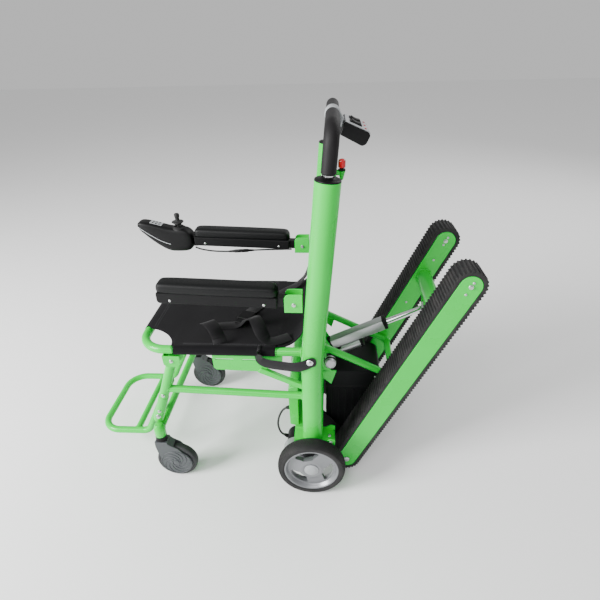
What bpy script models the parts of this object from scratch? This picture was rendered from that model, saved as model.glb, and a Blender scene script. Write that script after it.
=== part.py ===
"""Motorised stair chair: a folding-arm wheelchair on two castors and two driven wheels, with a pair of
rubber climbing tracks hinged behind it.

Metres, +Z up, the occupant faces -Y and +X is the occupant's left. Every position below is measured from
the floor under the rear axle. The empty "chair" then carries all of it to the middle of the chair's
bounding box, so the object's origin is on the floor at the centre of its plan.
"""
import math

import bmesh
import bpy
from mathutils import Matrix, Vector

GAP = 0.0003
SIDES = (("l", 1), ("r", -1))

# Wheels
REAR_WHEEL_R = 0.1015
REAR_TYRE_W = 0.044
REAR_WHEEL_X = 0.254
RIM_R = 0.081
AXLE_R = 0.008
CASTOR_R = 0.0635
CASTOR_X = 0.212
CASTOR_STEM_Y = -0.464
CASTOR_TRAIL = 0.037

# Main frame
POST_X = 0.201
POST_R = 0.030
POST_WALL = 0.003
POST_FOOT = Vector((0.0, 0.003, 0.175))
POST_KNEE = Vector((0.0, 0.003, 0.460))
POST_TOP = Vector((0.0, 0.041, 0.944))
RAIL_R = 0.0125
SEAT_Z = 0.477
SEAT_X = 0.190
SEAT_FRONT_Y = -0.480
SEAT_CORNER_R = 0.075
LEG_R = 0.014
LEG_TOP = Vector((SEAT_X, -0.388, 0.447))
LEG_FOOT = Vector((SEAT_X, -0.471, 0.212))
BEAM_Z = 0.192
BEAM_Y = -0.462
HOUSING_R = 0.017
STRETCHER_R = 0.011

# Footrest
FOOT_R = 0.011
FOOT_X = 0.136
FOOT_FRONT = Vector((0.0, -0.702, 0.102))
FOOT_HEEL = Vector((0.0, -0.540, 0.104))
FOOT_PIVOT = Vector((0.0, -0.437, 0.315))
FOOT_BAR_Y = -0.580

# Push handle
HANDLE_R = 0.011
GRIP_R = 0.017
HANDLE_TOP_Z = 1.052
HANDLE_DROP = 0.300
HANDLE_BEND_R = 0.040
CLAMP_HALF = 0.020

# Arms
ARM_X = 0.184
ARM_PIVOT = Vector((0.0, -0.042, 0.630))
ARM_SLOPE = math.radians(2.3)

# Climbing tracks
TRACK_X = 0.1435
TRACK_W = 0.075
TRACK_FOOT = Vector((0.0, 0.107, 0.050))
TRACK_HEAD = Vector((0.0, 0.392, 0.676))
TRACK_PLATE_R = 0.029
BELT_IN_R = 0.030
BELT_OUT_R = 0.043
SPROCKET_R = 0.0295
DRIVE_AXLE_R = 0.010

# Actuator that swings the tracks
ACTUATOR_PIVOT = Vector((0.0, 0.035, 0.364))
ROD_PIN = Vector((0.0, 0.337, 0.513))
BARREL_HALF = 0.0165
ROD_R = 0.009

# The chair's plan centre: halfway from the footrest's front to the back of the belts
AXLE_Y = -(FOOT_FRONT.y - FOOT_R + TRACK_HEAD.y + BELT_OUT_R) / 2

COLOURS = {
    "green": ((0.16, 0.75, 0.19), 0.30, 0.0),
    "black": ((0.012, 0.012, 0.013), 0.45, 0.0),
    "rubber": ((0.018, 0.017, 0.018), 0.80, 0.0),
    "foam": ((0.020, 0.019, 0.020), 0.90, 0.0),
    "fabric": ((0.014, 0.013, 0.016), 0.95, 0.0),
    "silver": ((0.60, 0.61, 0.62), 0.35, 0.9),
    "chrome": ((0.80, 0.80, 0.80), 0.12, 1.0),
    "grey": ((0.36, 0.37, 0.38), 0.50, 0.0),
    "red": ((0.70, 0.02, 0.03), 0.30, 0.0),
}


# ---------------------------------------------------------------- making solids
def material(finish):
    """The Principled material of one finish, made once."""
    found = bpy.data.materials.get(finish)
    if found:
        return found
    colour, roughness, metallic = COLOURS[finish]
    made = bpy.data.materials.new(finish)
    made.use_nodes = True
    shader = made.node_tree.nodes["Principled BSDF"]
    shader.inputs["Base Color"].default_value = (*colour, 1.0)
    shader.inputs["Roughness"].default_value = roughness
    shader.inputs["Metallic"].default_value = metallic
    return made


def node(name, bm, finish, parent, pivot=(0, 0, 0)):
    """Names a closed solid, turns its faces outwards and puts its origin on its pivot."""
    bmesh.ops.remove_doubles(bm, verts=bm.verts, dist=0.00001)
    bmesh.ops.recalc_face_normals(bm, faces=bm.faces)
    bmesh.ops.translate(bm, verts=bm.verts, vec=-Vector(pivot))
    mesh = bpy.data.meshes.new(name)
    bm.to_mesh(mesh)
    bm.free()
    mesh.materials.append(material(finish))
    mesh.shade_smooth()
    mesh.set_sharp_from_angle(angle=math.radians(35))
    made = bpy.data.objects.new(name, mesh)
    bpy.context.scene.collection.objects.link(made)
    made.parent = parent
    made.location = Vector(pivot) - parent_place(parent)
    return made


def parent_place(parent):
    """An empty's place in the chair's own measurements, before the chair is centred."""
    place = Vector((0, 0, 0))
    while parent is not None and parent.name != "chair":
        place += parent.location
        parent = parent.parent
    return place


def empty(name, place, parent=None):
    made = bpy.data.objects.new(name, None)
    bpy.context.scene.collection.objects.link(made)
    made.parent = parent
    made.location = Vector(place) - parent_place(parent)
    return made


def tool(bm, parent):
    """A closed shape that only shapes others."""
    made = node("cut", bm, "black", parent)
    made.hide_render = True
    made.display_type = "WIRE"
    return made


def combine(target, bm, parent, operation="UNION"):
    """Adds a closed shape to the target, or cuts it out."""
    modifier = target.modifiers.new(operation.lower(), "BOOLEAN")
    modifier.operation = operation
    modifier.object = tool(bm, parent)
    return target


def rounded(points, radius, steps=5):
    """The path through the points, with an arc of that radius at each inner corner."""
    points = [Vector(point) for point in points]
    path = [points[0]]
    for before, corner, after in zip(points, points[1:], points[2:]):
        back = (before - corner).normalized()
        on = (after - corner).normalized()
        half = back.angle(on) / 2
        reach = radius / math.tan(half)
        centre = corner + (back + on).normalized() * radius / math.sin(half)
        start = corner + back * reach - centre
        finish = corner + on * reach - centre
        for step in range(steps + 1):
            turn = Matrix.Rotation(start.angle(finish) * step / steps, 3, start.cross(finish))
            path.append(centre + turn @ start)
    path.append(points[-1])
    return path


def circle(radius, sides):
    turns = [2 * math.pi * side / sides for side in range(sides)]
    return [(radius * math.cos(turn), radius * math.sin(turn)) for turn in turns]


def frames_along(path, across):
    """The two cross directions at each point of a path, carried along without twist."""
    frames = []
    for i, point in enumerate(path):
        before = path[max(i - 1, 0)]
        after = path[min(i + 1, len(path) - 1)]
        along = (after - before).normalized()
        across = (across - along * along.dot(across)).normalized()
        frames.append((across, along.cross(across)))
    return frames


def ring_of(bm, point, frame, section):
    return [bm.verts.new(point + frame[0] * u + frame[1] * v) for u, v in section]


def skin(bm, rings):
    for low, high in zip(rings, rings[1:]):
        count = len(low)
        for i in range(count):
            bm.faces.new((low[i], low[(i + 1) % count], high[(i + 1) % count], high[i]))


def sweep(path, section, across=(1, 0, 0)):
    """A solid whose section is carried along the path."""
    path = [Vector(point) for point in path]
    bm = bmesh.new()
    frames = frames_along(path, Vector(across))
    rings = [ring_of(bm, point, frame, section) for point, frame in zip(path, frames)]
    skin(bm, rings)
    bm.faces.new(rings[0])
    bm.faces.new(rings[-1])
    return bm


def bar(path, radius, sides=14, across=(1, 0, 0)):
    return sweep(path, circle(radius, sides), across)


def pipe(path, radius, wall, sides=24):
    """A tube that is open at both ends."""
    path = [Vector(point) for point in path]
    bm = bmesh.new()
    frames = frames_along(path, Vector((1, 0, 0)))
    outer = [ring_of(bm, p, f, circle(radius, sides)) for p, f in zip(path, frames)]
    inner = [ring_of(bm, p, f, circle(radius - wall, sides)) for p, f in zip(path, frames)]
    skin(bm, outer)
    skin(bm, inner)
    skin(bm, [outer[0], inner[0]])
    skin(bm, [outer[-1], inner[-1]])
    return bm


def turned(profile, axis, centre, sides=32):
    """A turned solid. The profile is a loop of (along the axis, radius) points."""
    bm = bmesh.new()
    along = Vector(axis).normalized()
    side = along.orthogonal().normalized()
    other = along.cross(side)
    rings = []
    for step in range(sides):
        turn = 2 * math.pi * step / sides
        out = side * math.cos(turn) + other * math.sin(turn)
        rings.append([bm.verts.new(Vector(centre) + along * a + out * r) for a, r in profile])
    skin(bm, rings + [rings[0]])
    bmesh.ops.remove_doubles(bm, verts=bm.verts, dist=0.00001)
    bmesh.ops.dissolve_degenerate(bm, edges=bm.edges, dist=0.00001)
    return bm


def prism(outline, low, high):
    """A plate: an outline of (y, z) points, from x = low to x = high."""
    bm = bmesh.new()
    rings = [[bm.verts.new((x, y, z)) for y, z in outline] for x in (low, high)]
    skin(bm, rings)
    bm.faces.new(rings[0])
    bm.faces.new(rings[1])
    return bm


def plate(outline, low, high):
    """A plate: an outline of (x, y) points, from z = low to z = high."""
    bm = bmesh.new()
    rings = [[bm.verts.new((x, y, z)) for x, y in outline] for z in (low, high)]
    skin(bm, rings)
    bm.faces.new(rings[0])
    bm.faces.new(rings[1])
    return bm


def block(low, high):
    (x0, y0, z0), (x1, y1, z1) = low, high
    return prism([(y0, z0), (y1, z0), (y1, z1), (y0, z1)], x0, x1)


def arc(centre, radius, start, stop, steps):
    """Points on an arc, in degrees."""
    turns = [math.radians(start + (stop - start) * step / steps) for step in range(steps + 1)]
    return [(centre[0] + radius * math.cos(t), centre[1] + radius * math.sin(t)) for t in turns]


def at(x, point):
    return Vector((x, point[-2], point[-1]))


def span(a, b, share):
    return a + (b - a) * share


def post_path(x):
    return rounded([at(x, POST_FOOT), at(x, POST_KNEE), at(x, POST_TOP)], 0.30, 3)


def post_clearance(x):
    """A post with its paint gap, as a cutter for what is welded or bolted to it."""
    path = post_path(x)
    path[0] = path[0] + Vector((0, 0, -0.0002))
    return bar(path, POST_R + GAP, 24)


def post_point(height):
    """The middle of the post at a height above its knee."""
    return span(POST_KNEE, POST_TOP, (height - POST_KNEE.z) / (POST_TOP.z - POST_KNEE.z))


# ---------------------------------------------------------------- main frame
def make_posts(chair):
    for side, sign in SIDES:
        x = POST_X * sign
        node(f"post_{side}", pipe(post_path(x), POST_R, POST_WALL), "green", chair)
        lean = (POST_TOP - POST_KNEE).normalized()
        profile = [(GAP, HANDLE_R + GAP), (0.004, HANDLE_R + GAP), (0.009, 0.0160), (0.006, 0.0280),
                   (0.003, POST_R), (GAP, POST_R)]
        node(f"post_cap_{side}", turned(profile, lean, at(x, POST_TOP), 24), "black", chair)


def make_emergency_boss(chair):
    """The tapered boss on the back of the right post that carries the emergency switch."""
    post = bpy.data.objects["post_r"]
    surface = post_point(0.858).y + POST_R
    top = Vector((-POST_X, surface + 0.0155, 0.868))
    combine(post, turned([(0, 0), (0, 0.011), (-0.030, 0.005), (-0.030, 0)], (0, 0, 1), top, 16), chair)
    root = Vector((-POST_X, surface - 0.0020, 0.858))
    combine(post, bar([root, Vector((-POST_X, top.y + 0.002, 0.858))], 0.007, 12), chair)
    bore = turned([(0.001, 0), (0.001, 0.0040), (-0.016, 0.0040), (-0.016, 0)], (0, 0, 1), top, 12)
    combine(post, bore, chair, "DIFFERENCE")
    return top


def make_seat_frame(chair):
    """The U of tube under the seat, open at the posts."""
    points = [(SEAT_X, 0.0, SEAT_Z), (SEAT_X, SEAT_FRONT_Y, SEAT_Z), (-SEAT_X, SEAT_FRONT_Y, SEAT_Z),
              (-SEAT_X, 0.0, SEAT_Z)]
    made = node("seat_frame", bar(rounded(points, SEAT_CORNER_R, 6), RAIL_R, 14, (0, 0, 1)), "green", chair)
    for _, sign in SIDES:
        combine(made, post_clearance(POST_X * sign), chair, "DIFFERENCE")


def make_side_plates(chair):
    """The plate under each seat rail, with the strut that runs down from it to the post."""
    rail_under = SEAT_Z - RAIL_R - GAP
    for side, sign in SIDES:
        x = SEAT_X * sign
        outline = [(-0.275, rail_under), (-0.268, 0.412), (-0.150, 0.408), (-0.120, 0.422),
                   (-0.080, 0.440), (-0.078, rail_under)]
        made = node(f"side_plate_{side}", prism(outline, x - 0.002, x + 0.002), "green", chair)
        strut = [(-0.150, 0.408), (0.003, 0.334), (0.003, 0.352), (-0.140, 0.424)]
        combine(made, prism(strut, x - 0.007, x + 0.007), chair)
        combine(made, post_clearance(POST_X * sign), chair, "DIFFERENCE")


def make_stretchers(chair):
    """The low rail from each front leg back to the post."""
    for side, sign in SIDES:
        x = SEAT_X * sign
        front = span(LEG_TOP, LEG_FOOT, 0.47)
        path = [at(x, front), (x, 0.003, 0.320)]
        made = node(f"stretcher_{side}", bar(path, STRETCHER_R, 12), "green", chair)
        leg = bar([at(x, LEG_TOP), at(x, LEG_FOOT)], LEG_R + GAP, 16)
        combine(made, leg, chair, "DIFFERENCE")
        combine(made, post_clearance(POST_X * sign), chair, "DIFFERENCE")


def make_front_legs(chair):
    """Each leg hangs from a gusset under the seat rail."""
    rail_under = SEAT_Z - RAIL_R - GAP
    for side, sign in SIDES:
        x = SEAT_X * sign
        made = node(f"front_leg_{side}", bar([at(x, LEG_TOP), at(x, LEG_FOOT)], LEG_R, 16), "green", chair)
        gusset = [(-0.410, rail_under), (-0.408, 0.436), (-0.400, 0.428), (-0.372, 0.428), (-0.362, 0.440),
                  (-0.362, rail_under)]
        combine(made, prism(gusset, x - 0.0145, x + 0.0145), chair)


def make_castor_beam(chair):
    """The cross beam between the two castor housings, under the front legs."""
    ends = [(CASTOR_X - 0.004, BEAM_Y, BEAM_Z), (0.004 - CASTOR_X, BEAM_Y, BEAM_Z)]
    made = node("castor_beam", bar(ends, 0.0115, 14, (0, 0, 1)), "green", chair)
    for _, sign in SIDES:
        stem = (CASTOR_X * sign, CASTOR_STEM_Y, 0.0)
        housing = [(0.155, 0), (0.155, HOUSING_R), (0.196, HOUSING_R), (0.212, 0.012), (0.212, 0)]
        combine(made, turned(housing, (0, 0, 1), stem, 20), chair)
        combine(made, turned([(0.150, 0), (0.150, 0.0082), (0.185, 0.0082), (0.185, 0)], (0, 0, 1), stem, 20),
                chair, "DIFFERENCE")
        leg = bar([at(SEAT_X * sign, LEG_TOP), at(SEAT_X * sign, LEG_FOOT)], LEG_R + GAP, 16)
        combine(made, leg, chair, "DIFFERENCE")


def make_base_frame(chair):
    """The channel under the posts, its front panel, and the arms that hold the track axle."""
    top = POST_FOOT.z - GAP
    made = node("base_frame", block((-0.231, -0.053, top - 0.020), (0.231, 0.032, top)), "green", chair)
    panel = [(-0.069, 0.180), (-0.072, 0.316), (-0.046, 0.330), (-0.042, 0.330), (-0.042, top - 0.010),
             (-0.052, top - 0.010)]
    combine(made, prism(panel, -0.160, 0.160), chair)
    for _, sign in SIDES:
        foot = sorted((0.175 * sign, 0.231 * sign))
        combine(made, block((foot[0], 0.020, top - 0.020), (foot[1], 0.069, top)), chair)
        arm = [(-0.030, top - 0.004), (0.030, top - 0.004), (0.126, 0.060), (0.126, 0.036), (0.090, 0.030),
               (-0.030, 0.130)]
        edge = sorted((0.0860 * sign, 0.0925 * sign))
        combine(made, prism(arm, edge[0], edge[1]), chair)
    bore = turned([(-0.120, 0), (-0.120, DRIVE_AXLE_R + 0.0006), (0.120, DRIVE_AXLE_R + 0.0006), (0.120, 0)],
                  (1, 0, 0), TRACK_FOOT, 20)
    combine(made, bore, chair, "DIFFERENCE")


def make_battery_case(chair):
    """The case for the batteries and the control electronics, slung between the tracks."""
    outline = [(0.040, 0.090), (0.040, 0.316), (0.052, 0.326), (0.178, 0.326), (0.206, 0.311),
               (0.226, 0.200), (0.196, 0.096), (0.176, 0.078), (0.052, 0.078)]
    node("battery_case", prism(outline, -0.083, 0.083), "black", chair)


def make_rear_crossbar(chair):
    """The bar between the posts whose two ears hold the foot of the actuator."""
    made = node("rear_crossbar", bar([(POST_X, 0.006, 0.440), (-POST_X, 0.006, 0.440)], 0.0115, 14, (0, 0, 1)),
                "green", chair)
    for _, sign in SIDES:
        edge = sorted((0.0200 * sign, 0.0240 * sign))
        ear = [(-0.004, 0.440), (0.016, 0.440), (0.052, 0.376), (0.052, 0.352), (0.020, 0.348)]
        combine(made, prism(ear, edge[0], edge[1]), chair)
        combine(made, post_clearance(POST_X * sign), chair, "DIFFERENCE")
    pin = turned([(-0.0222, 0), (-0.0222, 0.0045), (0.0222, 0.0045), (0.0222, 0)], (1, 0, 0), ACTUATOR_PIVOT, 12)
    combine(made, pin, chair)


def make_brace_frame(chair):
    """The U of tube that leans back from the crossbar to steady the tracks."""
    x = 0.0950
    start_y, start_z = 0.0305, 0.4275
    points = [(x, start_y, start_z), (x, 0.241, 0.321), (-x, 0.241, 0.321), (-x, start_y, start_z)]
    slope = Vector((0, 0.241 - start_y, 0.321 - start_z)).normalized()
    across = Vector((1, 0, 0)).cross(slope)
    made = node("brace_frame", bar(rounded(points, 0.018, 4), 0.0105, 12, across), "green", chair)
    crossbar = bar([(POST_X, 0.006, 0.440), (-POST_X, 0.006, 0.440)], 0.0115 + GAP, 14, (0, 0, 1))
    combine(made, crossbar, chair, "DIFFERENCE")


def make_arm_brackets(chair):
    """The clevis in front of each post that an arm turns in."""
    for side, sign in SIDES:
        x = ARM_X * sign
        outline = [(-0.066, 0.606), (-0.062, 0.648), (-0.050, 0.660), (0.004, 0.660), (0.004, 0.606)]
        made = node(f"arm_bracket_{side}", prism(outline, x - 0.0165, x + 0.0165), "green", chair)
        slot = block((x - 0.0125, -0.080, 0.590), (x + 0.0125, -0.0235, 0.680))
        combine(made, slot, chair, "DIFFERENCE")
        pin = turned([(-0.0140, 0), (-0.0140, 0.0045), (0.0140, 0.0045), (0.0140, 0)], (1, 0, 0),
                     at(x, ARM_PIVOT), 12)
        combine(made, pin, chair)
        combine(made, post_clearance(POST_X * sign), chair, "DIFFERENCE")


# ---------------------------------------------------------------- wheels
def make_wheel_motors(chair):
    """Each gear motor stands in front of its axle and carries the axle stub."""
    motor = Vector((0, -0.046, 0.112))
    axle = Vector((0, 0, REAR_WHEEL_R))
    for side, sign in SIDES:
        edge = sorted((0.188 * sign, 0.2285 * sign))
        gearbox = (arc((motor.y, motor.z), 0.042, 90, 270, 8)
                   + arc((axle.y, axle.z), 0.036, 270, 450, 8))
        made = node(f"wheel_motor_{side}", prism(gearbox, edge[0], edge[1]), "silver", chair)
        can = [(0.128 * sign, 0), (0.128 * sign, 0.034), (0.195 * sign, 0.034), (0.195 * sign, 0)]
        combine(made, turned(can, (1, 0, 0), motor, 20), chair)
        stub = [(0.220 * sign, 0), (0.220 * sign, AXLE_R), (0.268 * sign, AXLE_R), (0.268 * sign, 0)]
        combine(made, turned(stub, (1, 0, 0), axle, 16), chair)


def make_rear_wheels(chair):
    """A three-spoked rim and its solid tyre, one pair on each side."""
    for side, sign in SIDES:
        hub = empty(f"rear_wheel_axis_{side}", (REAR_WHEEL_X * sign, 0, REAR_WHEEL_R), chair)
        centre = (REAR_WHEEL_X * sign, 0, REAR_WHEEL_R)
        half = REAR_TYRE_W / 2
        crown = [(half * math.sin(math.radians(a)), 0.0825 + 0.019 * math.cos(math.radians(a)) ** 0.5)
                 for a in (-78, -60, -35, 0, 35, 60, 78)]
        seat_r = RIM_R + GAP
        tyre = crown + [(half * 0.95, seat_r + 0.003), (half * 0.86, seat_r), (-half * 0.86, seat_r),
                        (-half * 0.95, seat_r + 0.003)]
        node(f"rear_tyre_{side}", turned(tyre, (1, 0, 0), centre, 40), "rubber", hub, centre)
        rim = [(0.020, RIM_R), (0.020, RIM_R - 0.007), (0.004, RIM_R - 0.012), (0.004, 0.034),
               (0.017, 0.028), (0.020, 0.020), (0.020, 0), (0.0145, 0), (0.0145, AXLE_R + 0.0005),
               (-0.020, AXLE_R + 0.0005), (-0.020, 0.026), (-0.004, 0.034), (-0.004, RIM_R - 0.012),
               (-0.019, RIM_R - 0.007), (-0.019, RIM_R)]
        profile = [(a * sign, r) for a, r in rim]
        wheel = node(f"rear_rim_{side}", turned(profile, (1, 0, 0), centre, 36), "silver", hub, centre)
        for spoke in range(3):
            middle = 30 + 120 * spoke
            window = (arc((0, REAR_WHEEL_R), RIM_R - 0.015, middle - 40, middle + 40, 6)
                      + arc((0, REAR_WHEEL_R), 0.038, middle + 26, middle - 26, 3))
            edge = sorted(((REAR_WHEEL_X - 0.015) * sign, (REAR_WHEEL_X + 0.015) * sign))
            combine(wheel, prism(window, edge[0], edge[1]), chair, "DIFFERENCE")


def make_castors(chair):
    """A swivelling moulded fork with a wheel behind its stem, at each front corner."""
    for side, sign in SIDES:
        stem = Vector((CASTOR_X * sign, CASTOR_STEM_Y, 0.150))
        hub = Vector((CASTOR_X * sign, CASTOR_STEM_Y + CASTOR_TRAIL, CASTOR_R))
        swivel = empty(f"castor_swivel_axis_{side}", stem, chair)
        outline = (arc((hub.y, hub.z), 0.050, -150, 75, 12)
                   + [(CASTOR_STEM_Y + 0.019, 0.136), (CASTOR_STEM_Y + 0.019, 0.1505),
                      (CASTOR_STEM_Y - 0.019, 0.1505), (CASTOR_STEM_Y - 0.019, 0.118)])
        fork = node(f"castor_fork_{side}", prism(outline, hub.x - 0.017, hub.x + 0.017), "grey", swivel, stem)
        slot = turned([(-0.0128, 0), (-0.0128, 0.068), (0.0128, 0.068), (0.0128, 0)], (1, 0, 0), hub, 28)
        combine(fork, slot, chair, "DIFFERENCE")
        pivot = [(0.145, 0), (0.145, 0.0075), (0.182, 0.0075), (0.182, 0)]
        combine(fork, turned(pivot, (0, 0, 1), (stem.x, stem.y, 0), 16), chair)
        axle = [(-0.014, 0), (-0.014, 0.004), (0.014, 0.004), (0.014, 0)]
        combine(fork, turned(axle, (1, 0, 0), hub, 12), chair)
        tread = [(-0.0120, 0.0048), (-0.0120, 0.056), (-0.0095, 0.0615), (-0.004, CASTOR_R),
                 (0.004, CASTOR_R), (0.0095, 0.0615), (0.0120, 0.056), (0.0120, 0.0048)]
        node(f"castor_wheel_{side}", turned(tread, (1, 0, 0), hub, 32), "rubber", swivel, hub)


# ---------------------------------------------------------------- footrest
def make_footrest(chair):
    """A loop of tube with a middle bar, on two uprights that hang from the legs."""
    hinge = empty("footrest_axis", FOOT_PIVOT, chair)
    left = [(FOOT_X, FOOT_PIVOT.y, FOOT_PIVOT.z), (FOOT_X, FOOT_HEEL.y, FOOT_HEEL.z)]
    front = [(FOOT_X, FOOT_FRONT.y, FOOT_FRONT.z), (-FOOT_X, FOOT_FRONT.y, FOOT_FRONT.z)]
    heel = rounded(left + front[:1], 0.030, 4)
    loop = rounded([heel[-2], *front, (-FOOT_X, heel[-2].y, heel[-2].z)], 0.060, 5)
    mirror = [Vector((-p.x, p.y, p.z)) for p in reversed(heel[:-1])]
    path = heel[:-1] + loop[1:-1] + mirror
    made = node("footrest", bar(path, FOOT_R, 12), "green", hinge, FOOT_PIVOT)
    mid = (FOOT_BAR_Y, 0.104)
    combine(made, bar([(FOOT_X, *mid), (-FOOT_X, *mid)], 0.010, 12, (0, 0, 1)), chair)
    for _, sign in SIDES:
        pin = [(FOOT_X * sign, 0), (FOOT_X * sign, 0.005), (0.1745 * sign, 0.005), (0.1745 * sign, 0)]
        combine(made, turned(pin, (1, 0, 0), FOOT_PIVOT, 12), chair)
        eye = turned([(FOOT_X * sign - 0.008, 0), (FOOT_X * sign - 0.008, 0.0135),
                      (FOOT_X * sign + 0.008, 0.0135), (FOOT_X * sign + 0.008, 0)], (1, 0, 0), FOOT_PIVOT, 16)
        combine(made, eye, chair)


# ---------------------------------------------------------------- push handle
def handle_path():
    """The inverted U of the push handle, from deep in one post to deep in the other."""
    lean = (POST_TOP - POST_KNEE).normalized()
    low = POST_TOP - lean * HANDLE_DROP
    high = POST_TOP + lean * ((HANDLE_TOP_Z - POST_TOP.z) / lean.z)
    return [at(POST_X, low), at(POST_X, high), at(-POST_X, high), at(-POST_X, low)]


def make_handle(chair):
    """Tube, foam grips, control box and its clamp, which all slide up together."""
    slide = empty("handle_axis", POST_TOP, chair)
    low, high_l, _, _ = handle_path()
    lean = (high_l - low).normalized()
    normal = lean.cross(Vector((1, 0, 0)))
    path = rounded(handle_path(), HANDLE_BEND_R, 6)
    node("handle_tube", bar(path, HANDLE_R, 14, normal), "chrome", slide, POST_TOP)
    for side, sign in SIDES:
        foot = at(POST_X * sign, POST_TOP) + lean * 0.0135
        inner = at(CLAMP_HALF * sign + 0.0015 * sign, high_l)
        sleeve = rounded([foot, at(POST_X * sign, high_l), inner], HANDLE_BEND_R, 6)
        grip = node(f"grip_{side}", bar(sleeve, GRIP_R, 14, normal), "foam", slide, POST_TOP)
        combine(grip, bar(path, HANDLE_R + GAP, 14, normal), chair, "DIFFERENCE")
    top = Vector((0, high_l.y, high_l.z))
    ring = turned([(-CLAMP_HALF, 0), (-CLAMP_HALF, 0.0195), (CLAMP_HALF, 0.0195), (CLAMP_HALF, 0)], (1, 0, 0),
                  top, 20)
    clamp = node("handle_clamp", ring, "grey", slide, POST_TOP)
    neck = [(top.y, top.z - 0.012), (top.y + 0.024, top.z - 0.030), (top.y + 0.030, top.z - 0.012),
            (top.y + 0.012, top.z + 0.014)]
    combine(clamp, prism(neck, -CLAMP_HALF, CLAMP_HALF), chair)
    combine(clamp, bar(path, HANDLE_R + GAP, 14, normal), chair, "DIFFERENCE")
    make_control_box(chair, slide, top)


def box_place(top, back, up):
    """A (y, z) point of the control box, measured down its sloping face from the clamp."""
    slope = math.radians(-27)
    y = top.y + 0.0235 + back * math.cos(slope) - up * math.sin(slope)
    z = top.z - 0.004 + back * math.sin(slope) + up * math.cos(slope)
    return y, z


def make_control_box(chair, slide, top):
    """The attendant's control box, sloping down behind the handle."""
    outline = [box_place(top, back, up) for back, up in
               ((0.002, 0.0), (0.070, 0.004), (0.077, -0.003), (0.077, -0.026), (0.070, -0.034), (0.010, -0.034))]
    box = node("control_box", prism(outline, -0.062, 0.062), "black", slide, POST_TOP)
    ring = turned([(-0.07, 0), (-0.07, 0.0198), (0.07, 0.0198), (0.07, 0)], (1, 0, 0), top, 20)
    combine(box, ring, chair, "DIFFERENCE")
    neck = [(top.y, top.z - 0.0123), (top.y + 0.024, top.z - 0.0303), (top.y + 0.0303, top.z - 0.012),
            (top.y + 0.012, top.z + 0.0143)]
    combine(box, prism(neck, -CLAMP_HALF - GAP, CLAMP_HALF + GAP), chair, "DIFFERENCE")
    for _, sign in SIDES:
        sleeve = bar([(0.0215 * sign, top.y, top.z), (0.09 * sign, top.y, top.z)], GRIP_R + GAP, 14, (0, 0, 1))
        combine(box, sleeve, chair, "DIFFERENCE")
    for name, x, start in (("climb_rocker", 0.026, 0.022), ("drive_rocker", -0.026, 0.022)):
        well = prism([box_place(top, b, u) for b, u in ((start, 0.02), (start + 0.026, 0.02),
                     (start + 0.026, -0.006), (start, -0.006))], x - 0.012, x + 0.012)
        combine(box, well, chair, "DIFFERENCE")
        key = [box_place(top, b, u) for b, u in ((start + 0.001, 0.0055), (start + 0.025, 0.0070),
               (start + 0.025, -0.002), (start + 0.001, -0.002))]
        node(name, prism(key, x - 0.011, x + 0.011), "black", slide,
             (x, *box_place(top, start + 0.013, 0.0)))


def make_emergency_knob(chair, boss_top):
    """The red stop knob, whose stem slides in the boss."""
    profile = [(-0.010, 0), (-0.010, 0.0032), (0.0045, 0.0032), (0.0045, 0.0105), (0.008, 0.0115),
               (0.024, 0.0115), (0.030, 0.0085), (0.031, 0)]
    node("emergency_knob", turned(profile, (0, 0, 1), boss_top, 20), "red", chair, boss_top)


# ---------------------------------------------------------------- arms
def arm_point(forward, up):
    """A (y, z) point of an arm, measured forwards along it and up from its pivot."""
    y = ARM_PIVOT.y - forward * math.cos(ARM_SLOPE) + up * math.sin(ARM_SLOPE)
    z = ARM_PIVOT.z + forward * math.sin(ARM_SLOPE) + up * math.cos(ARM_SLOPE)
    return y, z


def make_arms(chair):
    """The steel arm bars, their pads, and the driving controls on the right arm."""
    for side, sign in SIDES:
        x = ARM_X * sign
        hinge = empty(f"arm_axis_{side}", at(x, ARM_PIVOT), chair)
        outline = [arm_point(f, u) for f, u in ((-0.012, -0.010), (0.342, -0.010), (0.342, 0.0175),
                   (0.0, 0.0175), (-0.012, 0.010))]
        made = node(f"arm_bar_{side}", prism(outline, x - 0.0118, x + 0.0118), "black", hinge, at(x, ARM_PIVOT))
        bore = turned([(-0.02, 0), (-0.02, 0.0052), (0.02, 0.0052), (0.02, 0)], (1, 0, 0), at(x, ARM_PIVOT), 16)
        combine(made, bore, chair, "DIFFERENCE")
        pad = [arm_point(f, u) for f, u in ((0.040, 0.0180), (0.346, 0.0180), (0.352, 0.026), (0.350, 0.040),
               (0.338, 0.048), (0.062, 0.048), (0.046, 0.040), (0.040, 0.028))]
        bm = prism(pad, x - 0.026, x + 0.026)
        node(f"arm_pad_{side}", bm, "black", hinge, at(x, ARM_PIVOT))
    make_controller(chair, bpy.data.objects["arm_axis_r"])


def stick_place(back, up):
    """A point over the gate of the joystick, on the arm's middle plane."""
    return Vector((-ARM_X, -0.444 + back, 0.690 + up))


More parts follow.
